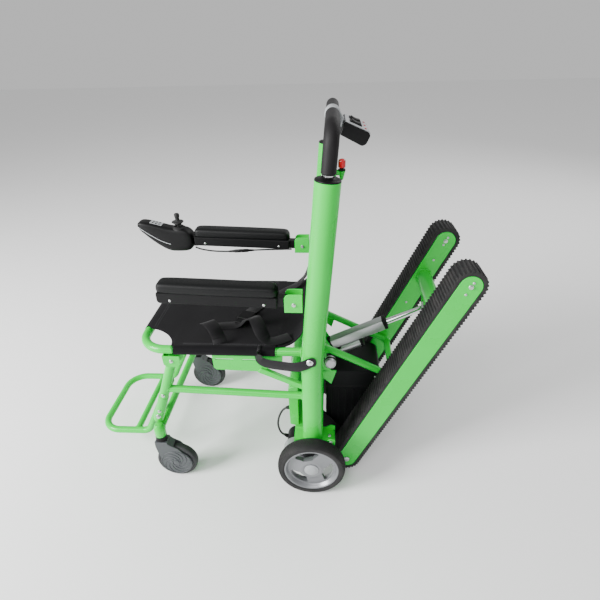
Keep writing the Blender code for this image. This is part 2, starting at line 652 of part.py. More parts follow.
def make_controller(chair, hinge):
    """The joystick housing in front of the right arm, its stick, and its lead."""
    x = -ARM_X
    pivot = at(x, ARM_PIVOT)
    outline = [(-0.574, 0.704), (-0.566, 0.712), (-0.552, 0.714), (-0.468, 0.691), (-0.424, 0.690),
               (-0.404, 0.664), (-0.396, 0.634), (-0.416, 0.613), (-0.476, 0.611), (-0.514, 0.634),
               (-0.568, 0.683)]
    case = node("controller_case", prism(outline, x - 0.026, x + 0.026), "black", hinge, pivot)
    gate = stick_place(0, 0)
    well = turned([(0.030, 0), (0.030, 0.0154), (-0.030, 0.0154), (-0.030, 0)], (0, 0, 1), gate, 20)
    combine(case, well, chair, "DIFFERENCE")
    bracket = prism([(-0.3960, 0.628), (-0.3845, 0.628), (-0.3845, 0.646), (-0.3985, 0.646)], x - 0.009, x + 0.009)
    combine(case, bracket, chair)
    centre = gate + Vector((0, 0, -0.012))
    tilt = empty("joystick_pitch_axis", centre, hinge)
    ring = turned([(-0.004, 0.0085), (-0.004, 0.0125), (0.004, 0.0125), (0.004, 0.0085)], (0, 0, 1), centre, 20)
    node("joystick_gimbal", ring, "silver", tilt, centre)
    stick = [(-0.008, 0), (-0.008, 0.0030), (0.0185, 0.0030), (0.0190, 0.0135), (0.0220, 0.0140), (0.0255, 0.0090),
             (0.030, 0.0085), (0.032, 0.0050), (0.040, 0.0048), (0.045, 0.0072), (0.057, 0.0065), (0.058, 0)]
    node("joystick", turned(stick, (0, 0, 1), centre, 16), "rubber", tilt, centre)
    lead = [(x, -0.3975, 0.620), (x, -0.389, 0.616), (x, -0.372, 0.611), (x, -0.340, 0.606), (x, -0.300, 0.6045),
            (x, -0.262, 0.606), (x, -0.215, 0.609), (x, -0.165, 0.6115), (x, -0.115, 0.613), (x, -0.078, 0.614)]
    cable = node("controller_lead", bar(lead, 0.0026, 8), "rubber", hinge, pivot)
    plug = turned([(-0.024, 0), (-0.024, 0.0030), (-0.018, 0.0050), (0.018, 0.0050), (0.024, 0.0030), (0.024, 0)],
                  (0, 1, 0.06), (x, -0.245, 0.607), 10)
    combine(cable, plug, chair)
    combine(cable, prism(outline, x - 0.0263, x + 0.0263), chair, "DIFFERENCE")


# ---------------------------------------------------------------- soft parts and the motor lead
def make_soft_parts(chair):
    """The seat and back slings, the belt on the seat and its anchor strap."""
    top = SEAT_Z + RAIL_R + GAP
    corner = 0.088
    front = SEAT_FRONT_Y - 0.004
    half = 0.196
    outline = ([(half, -0.088), (half, front + corner + 0.012)]
               + arc((half + 0.010, front + 0.004), corner + 0.010, 98, 172, 6)
               + [(0.098, front), (-0.098, front)]
               + [(-x, y) for x, y in reversed(arc((half + 0.010, front + 0.004), corner + 0.010, 98, 172, 6))]
               + [(-half, front + corner + 0.012), (-half, -0.088), (-0.150, -0.034), (0.150, -0.034)])
    node("seat_sling", plate(outline, top, top + 0.005), "fabric", chair)
    low = Vector((0, -0.012, 0.512))
    high = post_point(0.900) + Vector((0, -0.012, 0))
    sling = [(low.y - 0.003, low.z), (low.y + 0.003, low.z), (high.y + 0.003, high.z), (high.y - 0.003, high.z)]
    node("back_sling", prism(sling, -0.166, 0.166), "fabric", chair)
    strap_z = top + 0.0055
    belt = [(-0.105, -0.300), (-0.072, -0.318), (0.100, -0.180), (0.168, -0.112), (0.140, -0.088), (0.070, -0.140)]
    node("lap_belt", plate(belt, strap_z, strap_z + 0.010), "fabric", chair)
    strap = [(-0.1400, 0.4980), (-0.1440, 0.4800), (-0.1340, 0.4570), (-0.1100, 0.4480), (-0.0600, 0.4520),
             (-0.0300, 0.4600), (-0.0020, 0.4760)]
    x = POST_X + POST_R + GAP
    path = [Vector((0.2030, *strap[0])), Vector((0.2058, *strap[1])), Vector((0.2090, *strap[2])),
            Vector((0.2140, *strap[3])), Vector((0.2250, *strap[4])), Vector((x + 0.0028, *strap[5])),
            Vector((x + 0.0022, *strap[6]))]
    section = [(-0.0015, -0.013), (0.0015, -0.013), (0.0015, 0.013), (-0.0015, 0.013)]
    node("anchor_strap", sweep(path, section), "fabric", chair)


def make_motor_lead(chair):
    """The lead that loops from the front panel down to the left wheel motor."""
    x = 0.150
    route = [(x, -0.0725, 0.236), (x, -0.082, 0.233), (x, -0.094, 0.220), (x, -0.104, 0.196), (x, -0.109, 0.168),
             (x, -0.106, 0.142), (x, -0.098, 0.124), (x, -0.0835, 0.1150)]
    node("motor_lead", bar(route, 0.0032, 8), "rubber", chair)


# ---------------------------------------------------------------- climbing tracks
def track_axes():
    along = TRACK_HEAD - TRACK_FOOT
    return along.normalized(), along.length


def stadium(radius, steps=8):
    """The outline of a track at a distance round its two axles, as (y, z) points."""
    along, _ = track_axes()
    lean = math.degrees(math.atan2(along.z, along.y))
    return (arc((TRACK_HEAD.y, TRACK_HEAD.z), radius, lean - 90, lean + 90, steps)
            + arc((TRACK_FOOT.y, TRACK_FOOT.z), radius, lean + 90, lean + 270, steps))


def track_slab(start, stop, half, low, high):
    """A slab along a track, from one distance up it to another."""
    along, _ = track_axes()
    across = Vector((0, -along.z, along.y))
    corners = ((start, -half), (stop, -half), (stop, half), (start, half))
    outline = [TRACK_FOOT + along * a + across * b for a, b in corners]
    return prism([(p.y, p.z) for p in outline], low, high)


def make_tracks(chair):
    """Two boxed track frames with belts, joined by a cross tube, on one drive axle."""
    _, length = track_axes()
    hinge = empty("track_axis", TRACK_FOOT, chair)
    for side, sign in SIDES:
        low, high = sorted(((TRACK_X - TRACK_W / 2) * sign, (TRACK_X + TRACK_W / 2) * sign))
        frame = node(f"track_frame_{side}", prism(stadium(TRACK_PLATE_R), low, high), "green", hinge, TRACK_FOOT)
        combine(frame, track_slab(-0.06, length + 0.06, 0.025, low + 0.003, high - 0.003), chair, "DIFFERENCE")
        combine(frame, track_slab(-0.06, 0.045, 0.04, low + 0.003, high - 0.003), chair, "DIFFERENCE")
        combine(frame, track_slab(length - 0.045, length + 0.06, 0.04, low + 0.003, high - 0.003), chair,
                "DIFFERENCE")
        bore = turned([(-0.2, 0), (-0.2, DRIVE_AXLE_R + 0.0006), (0.2, DRIVE_AXLE_R + 0.0006), (0.2, 0)],
                      (1, 0, 0), TRACK_FOOT, 20)
        combine(frame, bore, chair, "DIFFERENCE")
        shaft = turned([(low + 0.001, 0), (low + 0.001, 0.006), (high - 0.001, 0.006), (high - 0.001, 0)],
                       (1, 0, 0), TRACK_HEAD, 12)
        combine(frame, shaft, chair)
        belt = prism(stadium(BELT_OUT_R, 10), low, high)
        loop = node(f"track_belt_{side}", belt, "rubber", hinge, TRACK_FOOT)
        combine(loop, prism(stadium(BELT_IN_R, 10), low - 0.01, high + 0.01), chair, "DIFFERENCE")
        idler = [(low + 0.004, 0.0066), (low + 0.004, SPROCKET_R), (high - 0.004, SPROCKET_R),
                 (high - 0.004, 0.0066)]
        node(f"idler_{side}", turned(idler, (1, 0, 0), TRACK_HEAD, 24), "grey", hinge, TRACK_HEAD)
    make_drive_axle(chair)
    make_cross_tube(chair, hinge)


def make_drive_axle(chair):
    """The axle through both tracks, with a toothed drum inside each."""
    inner = TRACK_X - TRACK_W / 2
    outer = TRACK_X + TRACK_W / 2
    half = [(0, DRIVE_AXLE_R), (inner + 0.004, DRIVE_AXLE_R), (inner + 0.004, SPROCKET_R),
            (outer - 0.004, SPROCKET_R), (outer - 0.004, DRIVE_AXLE_R), (outer + 0.002, DRIVE_AXLE_R),
            (outer + 0.002, 0)]
    profile = [(-a, r) for a, r in reversed(half[1:])] + half[1:]
    node("drive_axle", turned(profile, (1, 0, 0), TRACK_FOOT, 24), "grey", chair, TRACK_FOOT)


def make_cross_tube(chair, hinge):
    """The tube that joins the two tracks, with the two ears the actuator pushes."""
    inner = TRACK_X - TRACK_W / 2 - GAP
    along, length = track_axes()
    middle = TRACK_FOOT + along * 0.5604
    tube = bar([at(inner, middle), at(-inner, middle)], 0.0230, 20, (0, 0, 1))
    made = node("track_cross_tube", tube, "green", hinge, TRACK_FOOT)
    for _, sign in SIDES:
        edge = sorted((0.0150 * sign, 0.0195 * sign))
        ear = [(middle.y - 0.020, middle.z), (middle.y + 0.020, middle.z), (ROD_PIN.y + 0.013, ROD_PIN.z - 0.004),
               (ROD_PIN.y + 0.006, ROD_PIN.z - 0.013), (ROD_PIN.y - 0.008, ROD_PIN.z - 0.012)]
        combine(made, prism(ear, edge[0], edge[1]), chair)
    pin = [(-0.0172, 0), (-0.0172, 0.0035), (0.0172, 0.0035), (0.0172, 0)]
    combine(made, turned(pin, (1, 0, 0), ROD_PIN, 12), chair)


def make_actuator(chair):
    """The linear actuator: a square barrel with its motor beneath, and a chromed rod."""
    along = (ROD_PIN - ACTUATOR_PIVOT).normalized()
    under = Vector((0, along.z, -along.y))
    tilt = empty("actuator_axis", ACTUATOR_PIVOT, chair)
    square = [(-BARREL_HALF, -BARREL_HALF), (BARREL_HALF, -BARREL_HALF), (BARREL_HALF, BARREL_HALF),
              (-BARREL_HALF, BARREL_HALF)]
    start, stop = ACTUATOR_PIVOT + along * 0.014, ACTUATOR_PIVOT + along * 0.208
    barrel = node("actuator_body", sweep([start, stop], square), "silver", tilt, ACTUATOR_PIVOT)
    motor = ACTUATOR_PIVOT + along * 0.020 + under * 0.0330
    can = [(0.010, 0), (0.010, 0.0170), (0.100, 0.0170), (0.104, 0.0140), (0.104, 0)]
    combine(barrel, turned(can, along, motor, 20), chair)
    eye = turned([(-0.0150, 0), (-0.0150, 0.0100), (0.0150, 0.0100), (0.0150, 0)], (1, 0, 0), ACTUATOR_PIVOT, 16)
    combine(barrel, eye, chair)
    neck = sweep([ACTUATOR_PIVOT + along * 0.004, ACTUATOR_PIVOT + along * 0.018],
                 [(u * 0.8, v * 0.5) for u, v in square])
    combine(barrel, neck, chair)
    bore = turned([(-0.02, 0), (-0.02, 0.0052), (0.02, 0.0052), (0.02, 0)], (1, 0, 0), ACTUATOR_PIVOT, 16)
    combine(barrel, bore, chair, "DIFFERENCE")
    guide = turned([(0.100, 0), (0.100, ROD_R + 0.0005), (0.220, ROD_R + 0.0005), (0.220, 0)], along,
                   ACTUATOR_PIVOT, 20)
    combine(barrel, guide, chair, "DIFFERENCE")
    reach = (ROD_PIN - ACTUATOR_PIVOT).length
    rod = turned([(0.168, 0), (0.168, ROD_R), (reach - 0.016, ROD_R), (reach - 0.012, 0.0080),
                  (reach - 0.004, 0.0080), (reach - 0.004, 0)], along, ACTUATOR_PIVOT, 16)
    made = node("actuator_rod", rod, "chrome", tilt, ACTUATOR_PIVOT)
    combine(made, turned([(-0.0120, 0), (-0.0120, 0.0155), (0.0120, 0.0155), (0.0120, 0)], (1, 0, 0), ROD_PIN, 20),
            chair)
    combine(made, turned([(-0.02, 0), (-0.02, 0.0095), (0.02, 0.0095), (0.02, 0)], (1, 0, 0), ROD_PIN, 20),
            chair, "DIFFERENCE")


def build():
    for old in list(bpy.data.objects):
        bpy.data.objects.remove(old)
    chair = empty("chair", (0, 0, 0))
    make_posts(chair)
    boss_top = make_emergency_boss(chair)
    make_emergency_knob(chair, boss_top)
    make_seat_frame(chair)
    make_side_plates(chair)
    make_stretchers(chair)
    make_front_legs(chair)
    make_castor_beam(chair)
    make_base_frame(chair)
    make_battery_case(chair)
    make_rear_crossbar(chair)
    make_brace_frame(chair)
    make_arm_brackets(chair)
    make_wheel_motors(chair)
    make_rear_wheels(chair)
    make_castors(chair)
    make_footrest(chair)
    make_handle(chair)
    make_arms(chair)
    make_soft_parts(chair)
    make_motor_lead(chair)
    make_tracks(chair)
    make_actuator(chair)
    chair.location = (0, AXLE_Y, 0)


build()
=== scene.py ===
"""The finished look of a motorised stair chair, dressed over its working frame.

The occupant faces -Y and +X is the occupant's left. The file goes round the chair in the order it is put
together: posts and handle, seat and legs, arms and controls, footrest, drive, wheels, tracks, actuator.
"""
import math

import bmesh
import bpy
from mathutils import Matrix, Vector, noise


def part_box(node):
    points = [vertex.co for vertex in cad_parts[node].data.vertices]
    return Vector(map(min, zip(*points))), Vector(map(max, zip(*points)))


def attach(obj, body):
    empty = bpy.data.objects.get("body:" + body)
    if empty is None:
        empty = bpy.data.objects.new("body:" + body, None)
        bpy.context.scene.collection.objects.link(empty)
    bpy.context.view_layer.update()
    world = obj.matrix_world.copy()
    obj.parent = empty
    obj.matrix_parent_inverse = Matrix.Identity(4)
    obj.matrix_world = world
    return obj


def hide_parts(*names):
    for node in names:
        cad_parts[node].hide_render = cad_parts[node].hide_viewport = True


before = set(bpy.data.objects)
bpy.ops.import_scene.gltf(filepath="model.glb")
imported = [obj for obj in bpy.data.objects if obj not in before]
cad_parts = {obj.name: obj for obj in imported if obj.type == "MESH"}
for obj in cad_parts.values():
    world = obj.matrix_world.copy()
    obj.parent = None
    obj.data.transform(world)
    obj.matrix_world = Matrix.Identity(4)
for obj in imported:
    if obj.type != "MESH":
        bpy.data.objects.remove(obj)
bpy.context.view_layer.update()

# ------------------------------------------------------------------ studio
# A pale seamless floor, three soft panels of light and the camera that looks down at the chair's left side.
# Every place in this file is measured from the floor under the rear axle, which spot() turns into the frame.
tyre_low, tyre_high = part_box("rear_tyre_l")
axle_y = (tyre_low.y + tyre_high.y) / 2
SIDES = (("l", 1), ("r", -1))


def spot(x, y, z):
    """A place given from the floor under the rear axle."""
    return Vector((x, axle_y + y, z))


def linear(code):
    """An sRGB hex colour as the linear values that a shader takes."""
    values = [int(code[i:i + 2], 16) / 255 for i in (1, 3, 5)]
    return [v / 12.92 if v <= 0.04045 else ((v + 0.055) / 1.055) ** 2.4 for v in values] + [1.0]


def add(tree, kind, inputs=None, **settings):
    """Adds one node with its settings, its values and its links."""
    made = tree.nodes.new(kind)
    for name, value in settings.items():
        setattr(made, name, value)
    for name, value in (inputs or {}).items():
        if isinstance(value, bpy.types.NodeSocket):
            tree.links.new(value, made.inputs[name])
        else:
            made.inputs[name].default_value = value
    return made


def finish_of(name, colour, roughness, metallic=0.0, **more):
    """A new material with its plain values set: what every finish starts from."""
    made = bpy.data.materials.new(name)
    made.use_nodes = True
    made.diffuse_color = linear(colour)
    shader = made.node_tree.nodes["Principled BSDF"]
    shader.inputs["Base Color"].default_value = linear(colour)
    shader.inputs["Roughness"].default_value = roughness
    shader.inputs["Metallic"].default_value = metallic
    for socket, value in more.items():
        shader.inputs[socket.replace("_", " ")].default_value = value
    return made, made.node_tree, shader


def studio_floor():
    bm = bmesh.new()
    bmesh.ops.create_grid(bm, x_segments=1, y_segments=1, size=14.0)
    mesh = bpy.data.meshes.new("studio_floor")
    bm.to_mesh(mesh)
    bm.free()
    floor = bpy.data.objects.new("studio_floor", mesh)
    floor.location = (0, 0, -0.0006)
    bpy.context.scene.collection.objects.link(floor)
    paper, _, _ = finish_of("matt_paper_floor", "#F6F6F6", 0.9)
    mesh.materials.append(paper)


def panel_light(name, place, power, size):
    data = bpy.data.lights.new(name, "AREA")
    data.energy = power
    data.shape = "RECTANGLE"
    data.size, data.size_y = size
    light = bpy.data.objects.new(name, data)
    bpy.context.scene.collection.objects.link(light)
    light.location = place
    light.rotation_euler = (spot(0, -0.1, 0.4) - Vector(place)).to_track_quat("-Z", "Y").to_euler()


studio_floor()
panel_light("key_panel", (1.7, -3.0, 1.9), 340, (1.5, 2.0))
panel_light("side_panel", (3.0, -0.6, 3.2), 60, (2.0, 2.0))
panel_light("back_panel", (-2.4, 2.4, 2.8), 55, (2.4, 2.0))
world = bpy.data.worlds.new("white_studio")
world.use_nodes = True
world.node_tree.nodes["Background"].inputs["Color"].default_value = linear("#FFFFFF")
world.node_tree.nodes["Background"].inputs["Strength"].default_value = 0.62
bpy.context.scene.world = world


def aim_camera(place, turn, dip, roll, lens):
    """The camera looks along -X, turned towards -Y, dipped, and rolled a little."""
    forward = Vector((-math.cos(dip) * math.cos(turn), -math.cos(dip) * math.sin(turn), -math.sin(dip)))
    side = forward.cross(Vector((0, 0, 1))).normalized()
    up = side.cross(forward)
    right = side * math.cos(roll) + up * math.sin(roll)
    top = up * math.cos(roll) - side * math.sin(roll)
    data = bpy.data.cameras.new("camera")
    data.lens = lens
    data.sensor_width = 36.0
    camera = bpy.data.objects.new("camera", data)
    bpy.context.scene.collection.objects.link(camera)
    camera.matrix_world = Matrix.LocRotScale(place, Matrix((right, top, -forward)).transposed(), None)
    bpy.context.scene.camera = camera


aim_camera(spot(1.1641, 0.0476, 1.2103), math.radians(4.36), math.radians(30.28), math.radians(-1.52), 26.91)

# ------------------------------------------------------------------ posts
# Two thick-walled tubes, bent back a little above the seat and sprayed with glossy spring-green powder.
# The right one has a small tapered boss welded behind it for the stop switch.
POST_X = 0.201
POST_R = 0.030
post_foot, post_knee, post_top = spot(0, 0.003, 0.175), spot(0, 0.003, 0.460), spot(0, 0.041, 0.944)
lean = (post_top - post_knee).normalized()


def post_middle(height):
    """The middle of a post at a height above its bend."""
    return post_knee + (post_top - post_knee) * (height - post_knee.z) / (post_top.z - post_knee.z)


def beside(x, point):
    return Vector((x, point.y, point.z))


def rounded(points, radius, steps=8):
    """The line through the points, with each corner turned on an arc."""
    points = [Vector(p) for p in points]
    line = [points[0]]
    for before, corner, after in zip(points, points[1:], points[2:]):
        back, on = (before - corner).normalized(), (after - corner).normalized()
        half = back.angle(on) / 2
        centre = corner + (back + on).normalized() * radius / math.sin(half)
        start = corner + back * radius / math.tan(half) - centre
        stop = corner + on * radius / math.tan(half) - centre
        axis = start.cross(stop)
        line += [centre + Matrix.Rotation(start.angle(stop) * i / steps, 3, axis) @ start
                 for i in range(steps + 1)]
    return line + [points[-1]]


def smooth_line(points, per_span=6):
    """A soft curve through given points."""
    points = [Vector(p) for p in points]
    ends = [points[0] * 2 - points[1]] + points + [points[-1] * 2 - points[-2]]
    line = []
    for a, b, c, d in zip(ends, ends[1:], ends[2:], ends[3:]):
        for i in range(per_span):
            t = i / per_span
            line.append(0.5 * ((2 * b) + (c - a) * t + (2 * a - 5 * b + 4 * c - d) * t * t
                               + (3 * b - a - 3 * c + d) * t ** 3))
    return line + [points[-1]]


def cross_frames(line, across):
    """The two directions across a line at each of its points, carried along without twist."""
    frames = []
    across = Vector(across)
    for i in range(len(line)):
        along = (line[min(i + 1, len(line) - 1)] - line[max(i - 1, 0)]).normalized()
        across = (across - along * along.dot(across)).normalized()
        frames.append((across, along.cross(across)))
    return frames


def ring_faces(rings, count, closed=False):
    """The four-sided faces between rings of points, numbered one ring after another."""
    pairs = [(i, i + 1) for i in range(rings - 1)] + ([(rings - 1, 0)] if closed else [])
    return [(a * count + i, a * count + (i + 1) % count, b * count + (i + 1) % count, b * count + i)
            for a, b in pairs for i in range(count)]


def swept(line, section, across=(1, 0, 0)):
    """A solid bar: a section of (across, up) points carried along a line, its ends closed."""
    line = [Vector(p) for p in line]
    points = [p + f[0] * u + f[1] * v for p, f in zip(line, cross_frames(line, across)) for u, v in section]
    count = len(section)
    faces = ring_faces(len(line), count)
    faces += [tuple(range(count)), tuple(range(len(points) - count, len(points)))]
    return points, faces


def round_section(radius, sides=32):
    return [(radius * math.cos(2 * math.pi * i / sides), radius * math.sin(2 * math.pi * i / sides))
            for i in range(sides)]


def bar(line, radius, sides=32, across=(1, 0, 0)):
    return swept(line, round_section(radius, sides), across)


def hollow_bar(line, radius, wall, sides=48):
    """A tube that shows its wall at both ends."""
    line = [Vector(p) for p in line]
    frames = cross_frames(line, (1, 0, 0))
    loops = list(zip(line, frames)) + list(zip(reversed(line), reversed(frames)))
    radii = [radius] * len(line) + [radius - wall] * len(line)
    points = [p + f[0] * u + f[1] * v for (p, f), r in zip(loops, radii) for u, v in round_section(r, sides)]
    return points, ring_faces(len(loops), sides, closed=True)


def turned(profile, axis, centre, sides=48):
    """A lathe-turned solid from a loop of (along, radius) points."""
    along = Vector(axis).normalized()
    side = along.orthogonal().normalized()
    other = along.cross(side)
    points = []
    for i in range(sides):
        turn = 2 * math.pi * i / sides
        out = side * math.cos(turn) + other * math.sin(turn)
        points += [Vector(centre) + along * a + out * r for a, r in profile]
    return points, ring_faces(sides, len(profile), closed=True)


def plate_x(outline, low, high):
    """A flat plate: an outline of (y, z) points from the axle, between two values of x."""
    points = [spot(x, y, z) for x in sorted((low, high)) for y, z in outline]
    count = len(outline)
    return points, ring_faces(2, count) + [tuple(range(count)), tuple(range(count, 2 * count))]


def put_together(name, shapes):
    """One mesh from several closed shapes, its doubled points merged and its faces turned outwards."""
    bm = bmesh.new()
    for points, faces in shapes:
        verts = [bm.verts.new(p) for p in points]
        for face in faces:
            bm.faces.new([verts[i] for i in face])
    bmesh.ops.remove_doubles(bm, verts=bm.verts, dist=0.000005)
    bmesh.ops.dissolve_degenerate(bm, edges=bm.edges, dist=0.000005)
    bmesh.ops.recalc_face_normals(bm, faces=bm.faces)
    mesh = bpy.data.meshes.new(name)
    bm.to_mesh(mesh)
    bm.free()
    return mesh


CREASE = math.radians(38)


def fit(name, mesh, finish, body, replaces=(), bevel=0.0, soft=0):
    """Hangs a finished mesh on its moving body, in place of the plain parts it stands for."""
    mesh.materials.clear()
    mesh.materials.append(finish)
    mesh.shade_smooth()
    mesh.set_sharp_from_angle(angle=CREASE)
    made = bpy.data.objects.new(name, mesh)
    bpy.context.scene.collection.objects.link(made)
    if bevel:
        edge = made.modifiers.new("eased_edges", "BEVEL")
        edge.width = bevel
        edge.segments = 3
        edge.limit_method = "ANGLE"
        edge.angle_limit = CREASE
        edge.harden_normals = True
    if soft:
        rounding = made.modifiers.new("rounding", "SUBSURF")
        rounding.levels = rounding.render_levels = soft
    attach(made, body)
    if replaces:
        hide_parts(*replaces)
    return made


def make(name, shapes, finish, body, replaces=(), bevel=0.0, soft=0):
    return fit(name, put_together(name, shapes), finish, body, replaces, bevel, soft)


def two_tone(tree, shader, factor, dark, light):
    """Colours a finish between two tones, by a factor from another node."""
    tone = add(tree, "ShaderNodeMix", {"Factor": factor}, data_type="RGBA")
    tone.inputs["A"].default_value = linear(dark)
    tone.inputs["B"].default_value = linear(light)
    tree.links.new(tone.outputs["Result"], shader.inputs["Base Color"])


def relief(tree, shader, height, strength, depth):
    """Gives a finish the fine relief of its grain, weave or peel."""
    bump = add(tree, "ShaderNodeBump", {"Height": height, "Strength": strength, "Distance": depth})
    tree.links.new(bump.outputs["Normal"], shader.inputs["Normal"])


def green_powder_coat():
    """Spring-green polyester powder, sprayed and baked: a wet gloss over a faint orange peel 2 mm across,
    a little duller where hands and straps rub it, and slightly uneven in depth of colour."""
    coat, tree, shader = finish_of("green_powder_coat", "#0CCC3C", 0.3, Specular_IOR_Level=0.3,
                                   Coat_Weight=0.12, Coat_Roughness=0.12)
    place = add(tree, "ShaderNodeTexCoord").outputs["Object"]
    cloud = add(tree, "ShaderNodeTexNoise", {"Vector": place, "Scale": 9.0, "Detail": 3.0})
    two_tone(tree, shader, cloud.outputs["Fac"], "#06BC30", "#0ECC3E")
    rub = add(tree, "ShaderNodeMapRange", {"Value": cloud.outputs["Fac"], "From Min": 0.35, "From Max": 0.7,
                                           "To Min": 0.24, "To Max": 0.36})
    tree.links.new(rub.outputs["Result"], shader.inputs["Roughness"])
    peel = add(tree, "ShaderNodeTexNoise", {"Vector": place, "Scale": 480.0, "Detail": 1.5})
    relief(tree, shader, peel.outputs["Fac"], 0.10, 0.0006)
    return coat


def grained(name, colour, light, roughness, grain, strength, **more):
    """A moulded black or grey surface: a spark-eroded grain of a given size, and a slight bloom."""
    made, tree, shader = finish_of(name, colour, roughness, **more)
    place = add(tree, "ShaderNodeTexCoord").outputs["Object"]
    cloud = add(tree, "ShaderNodeTexNoise", {"Vector": place, "Scale": 14.0, "Detail": 4.0})
    two_tone(tree, shader, cloud.outputs["Fac"], colour, light)
    pits = add(tree, "ShaderNodeTexNoise", {"Vector": place, "Scale": 1.0 / grain, "Detail": 2.0})
    dull = add(tree, "ShaderNodeMapRange", {"Value": pits.outputs["Fac"], "To Min": roughness - 0.08,
                                            "To Max": roughness + 0.10})
    tree.links.new(dull.outputs["Result"], shader.inputs["Roughness"])
    relief(tree, shader, pits.outputs["Fac"], strength, grain * 0.4)
    return made


powder = green_powder_coat()
moulded_abs = grained("black_moulded_abs", "#060607", "#0E0E0F", 0.45, 0.0009, 0.18, Specular_IOR_Level=0.18)


def post_line(x):
    return rounded([beside(x, post_foot), beside(x, post_knee), beside(x, post_top)], 0.30, 6)


def boss_top():
    middle = post_middle(0.858)
    return Vector((-POST_X, middle.y + POST_R + 0.0155, 0.868))


for side, sign in SIDES:
    tube_shapes = [hollow_bar(post_line(POST_X * sign), POST_R, 0.003)]
    if side == "r":
        cup = [(0.0, 0.004), (0.0, 0.0095), (-0.001, 0.0112), (-0.006, 0.0112), (-0.030, 0.0052),
               (-0.0325, 0.003), (-0.0325, 0.0), (-0.018, 0.0), (-0.018, 0.004)]
        neck = [boss_top() + Vector((0, -0.0160, -0.010)), boss_top() + Vector((0, 0, -0.010))]
        tube_shapes += [turned(cup, (0, 0, 1), boss_top(), 32), bar(neck, 0.0085, 24)]
    make(f"post_tube_{side}", tube_shapes, powder, "frame", [f"post_{side}"])
    plug = [(0.0004, 0.0113), (0.0050, 0.0113), (0.0086, 0.0128), (0.0089, 0.0146), (0.0068, 0.0172),
            (0.0058, 0.0230), (0.0048, 0.0272), (0.0034, 0.0296), (0.0018, 0.0300), (0.0004, 0.0296)]
    make(f"post_plug_{side}", [turned(plug, lean, beside(POST_X * sign, post_top))], moulded_abs, "frame",
         [f"post_cap_{side}"])

# ------------------------------------------------------------------ push handle
# A chromed U that telescopes out of both posts. Split foam sleeves run up, round the bend and along to a
# grey clamp in the middle, which holds the attendant's box behind it.
HANDLE_R = 0.011
handle_top_z = 1.052
handle_low = post_top - lean * 0.300
handle_high = post_top + lean * ((handle_top_z - post_top.z) / lean.z)
handle_normal = lean.cross(Vector((1, 0, 0)))


def chrome_plate():
    """Nickel-chrome over steel: a mirror with a few hairlines from wiping."""
    made, tree, shader = finish_of("chrome_plate", "#D8DADC", 0.12, 1.0)
    place = add(tree, "ShaderNodeTexCoord").outputs["Object"]
    wipes = add(tree, "ShaderNodeTexNoise", {"Vector": place, "Scale": 60.0, "Detail": 6.0})
    dull = add(tree, "ShaderNodeMapRange", {"Value": wipes.outputs["Fac"], "To Min": 0.07, "To Max": 0.22})
    tree.links.new(dull.outputs["Result"], shader.inputs["Roughness"])
    return made


chrome = chrome_plate()
grip_foam = grained("black_nitrile_foam", "#0B0A0B", "#171517", 0.60, 0.0011, 0.35, Specular_IOR_Level=0.25)
grey_nylon = grained("light_grey_nylon", "#8B8E90", "#A3A6A8", 0.42, 0.0010, 0.15)
silver_film = grained("silver_panel_film", "#B4B7BA", "#C4C7C9", 0.34, 0.0008, 0.08, Metallic=0.35)
hole_black = grained("deep_black_rubber", "#0A0A0A", "#141414", 0.7, 0.0015, 0.2)

handle_line = rounded([beside(POST_X, handle_low), beside(POST_X, handle_high), beside(-POST_X, handle_high),
                       beside(-POST_X, handle_low)], 0.040, 12)
make("handle_u_tube", [bar(handle_line, HANDLE_R, 32, handle_normal)], chrome, "handle", ["handle_tube"])
for side, sign in SIDES:
    foot = beside(POST_X * sign, post_top) + lean * 0.0135
    corner, inner = beside(POST_X * sign, handle_high), beside(0.0225 * sign, handle_high)
    sleeve = rounded([foot, corner, inner], 0.040, 14)
    body_line = [sleeve[0] + lean * 0.002] + sleeve[1:-1] + [inner + Vector((0.002 * sign, 0, 0))]
    make(f"foam_sleeve_{side}", [bar(sleeve, 0.0152, 36, handle_normal),
                                 bar(body_line, 0.0170, 36, handle_normal)], grip_foam, "handle",
         [f"grip_{side}"], bevel=0.0012)

collar = []
for x, radius in ((-0.020, 0.0180), (-0.0185, 0.0193), (-0.004, 0.0193), (-0.003, 0.0185), (0.003, 0.0185),
                  (0.004, 0.0193), (0.0185, 0.0193), (0.020, 0.0180)):
    collar.append((x, radius))
collar += [(0.020, 0.0114), (-0.020, 0.0114)]
top_y, top_z = handle_high.y - axle_y, handle_high.z
saddle = [(top_y - 0.004, top_z - 0.014), (top_y + 0.022, top_z - 0.030), (top_y + 0.029, top_z - 0.012),
          (top_y + 0.012, top_z + 0.0135)]
make("clamp_shell", [turned(collar, (1, 0, 0), spot(0, top_y, top_z)), plate_x(saddle, -0.0195, 0.0195)],
     grey_nylon, "handle", ["handle_clamp"], bevel=0.0012)


def box_face(back, up):
    """A (y, z) place on the attendant's box, measured down its sloping face from the clamp."""
    slope = math.radians(-27)
    return (top_y + 0.0235 + back * math.cos(slope) - up * math.sin(slope),
            top_z - 0.004 + back * math.sin(slope) + up * math.cos(slope))


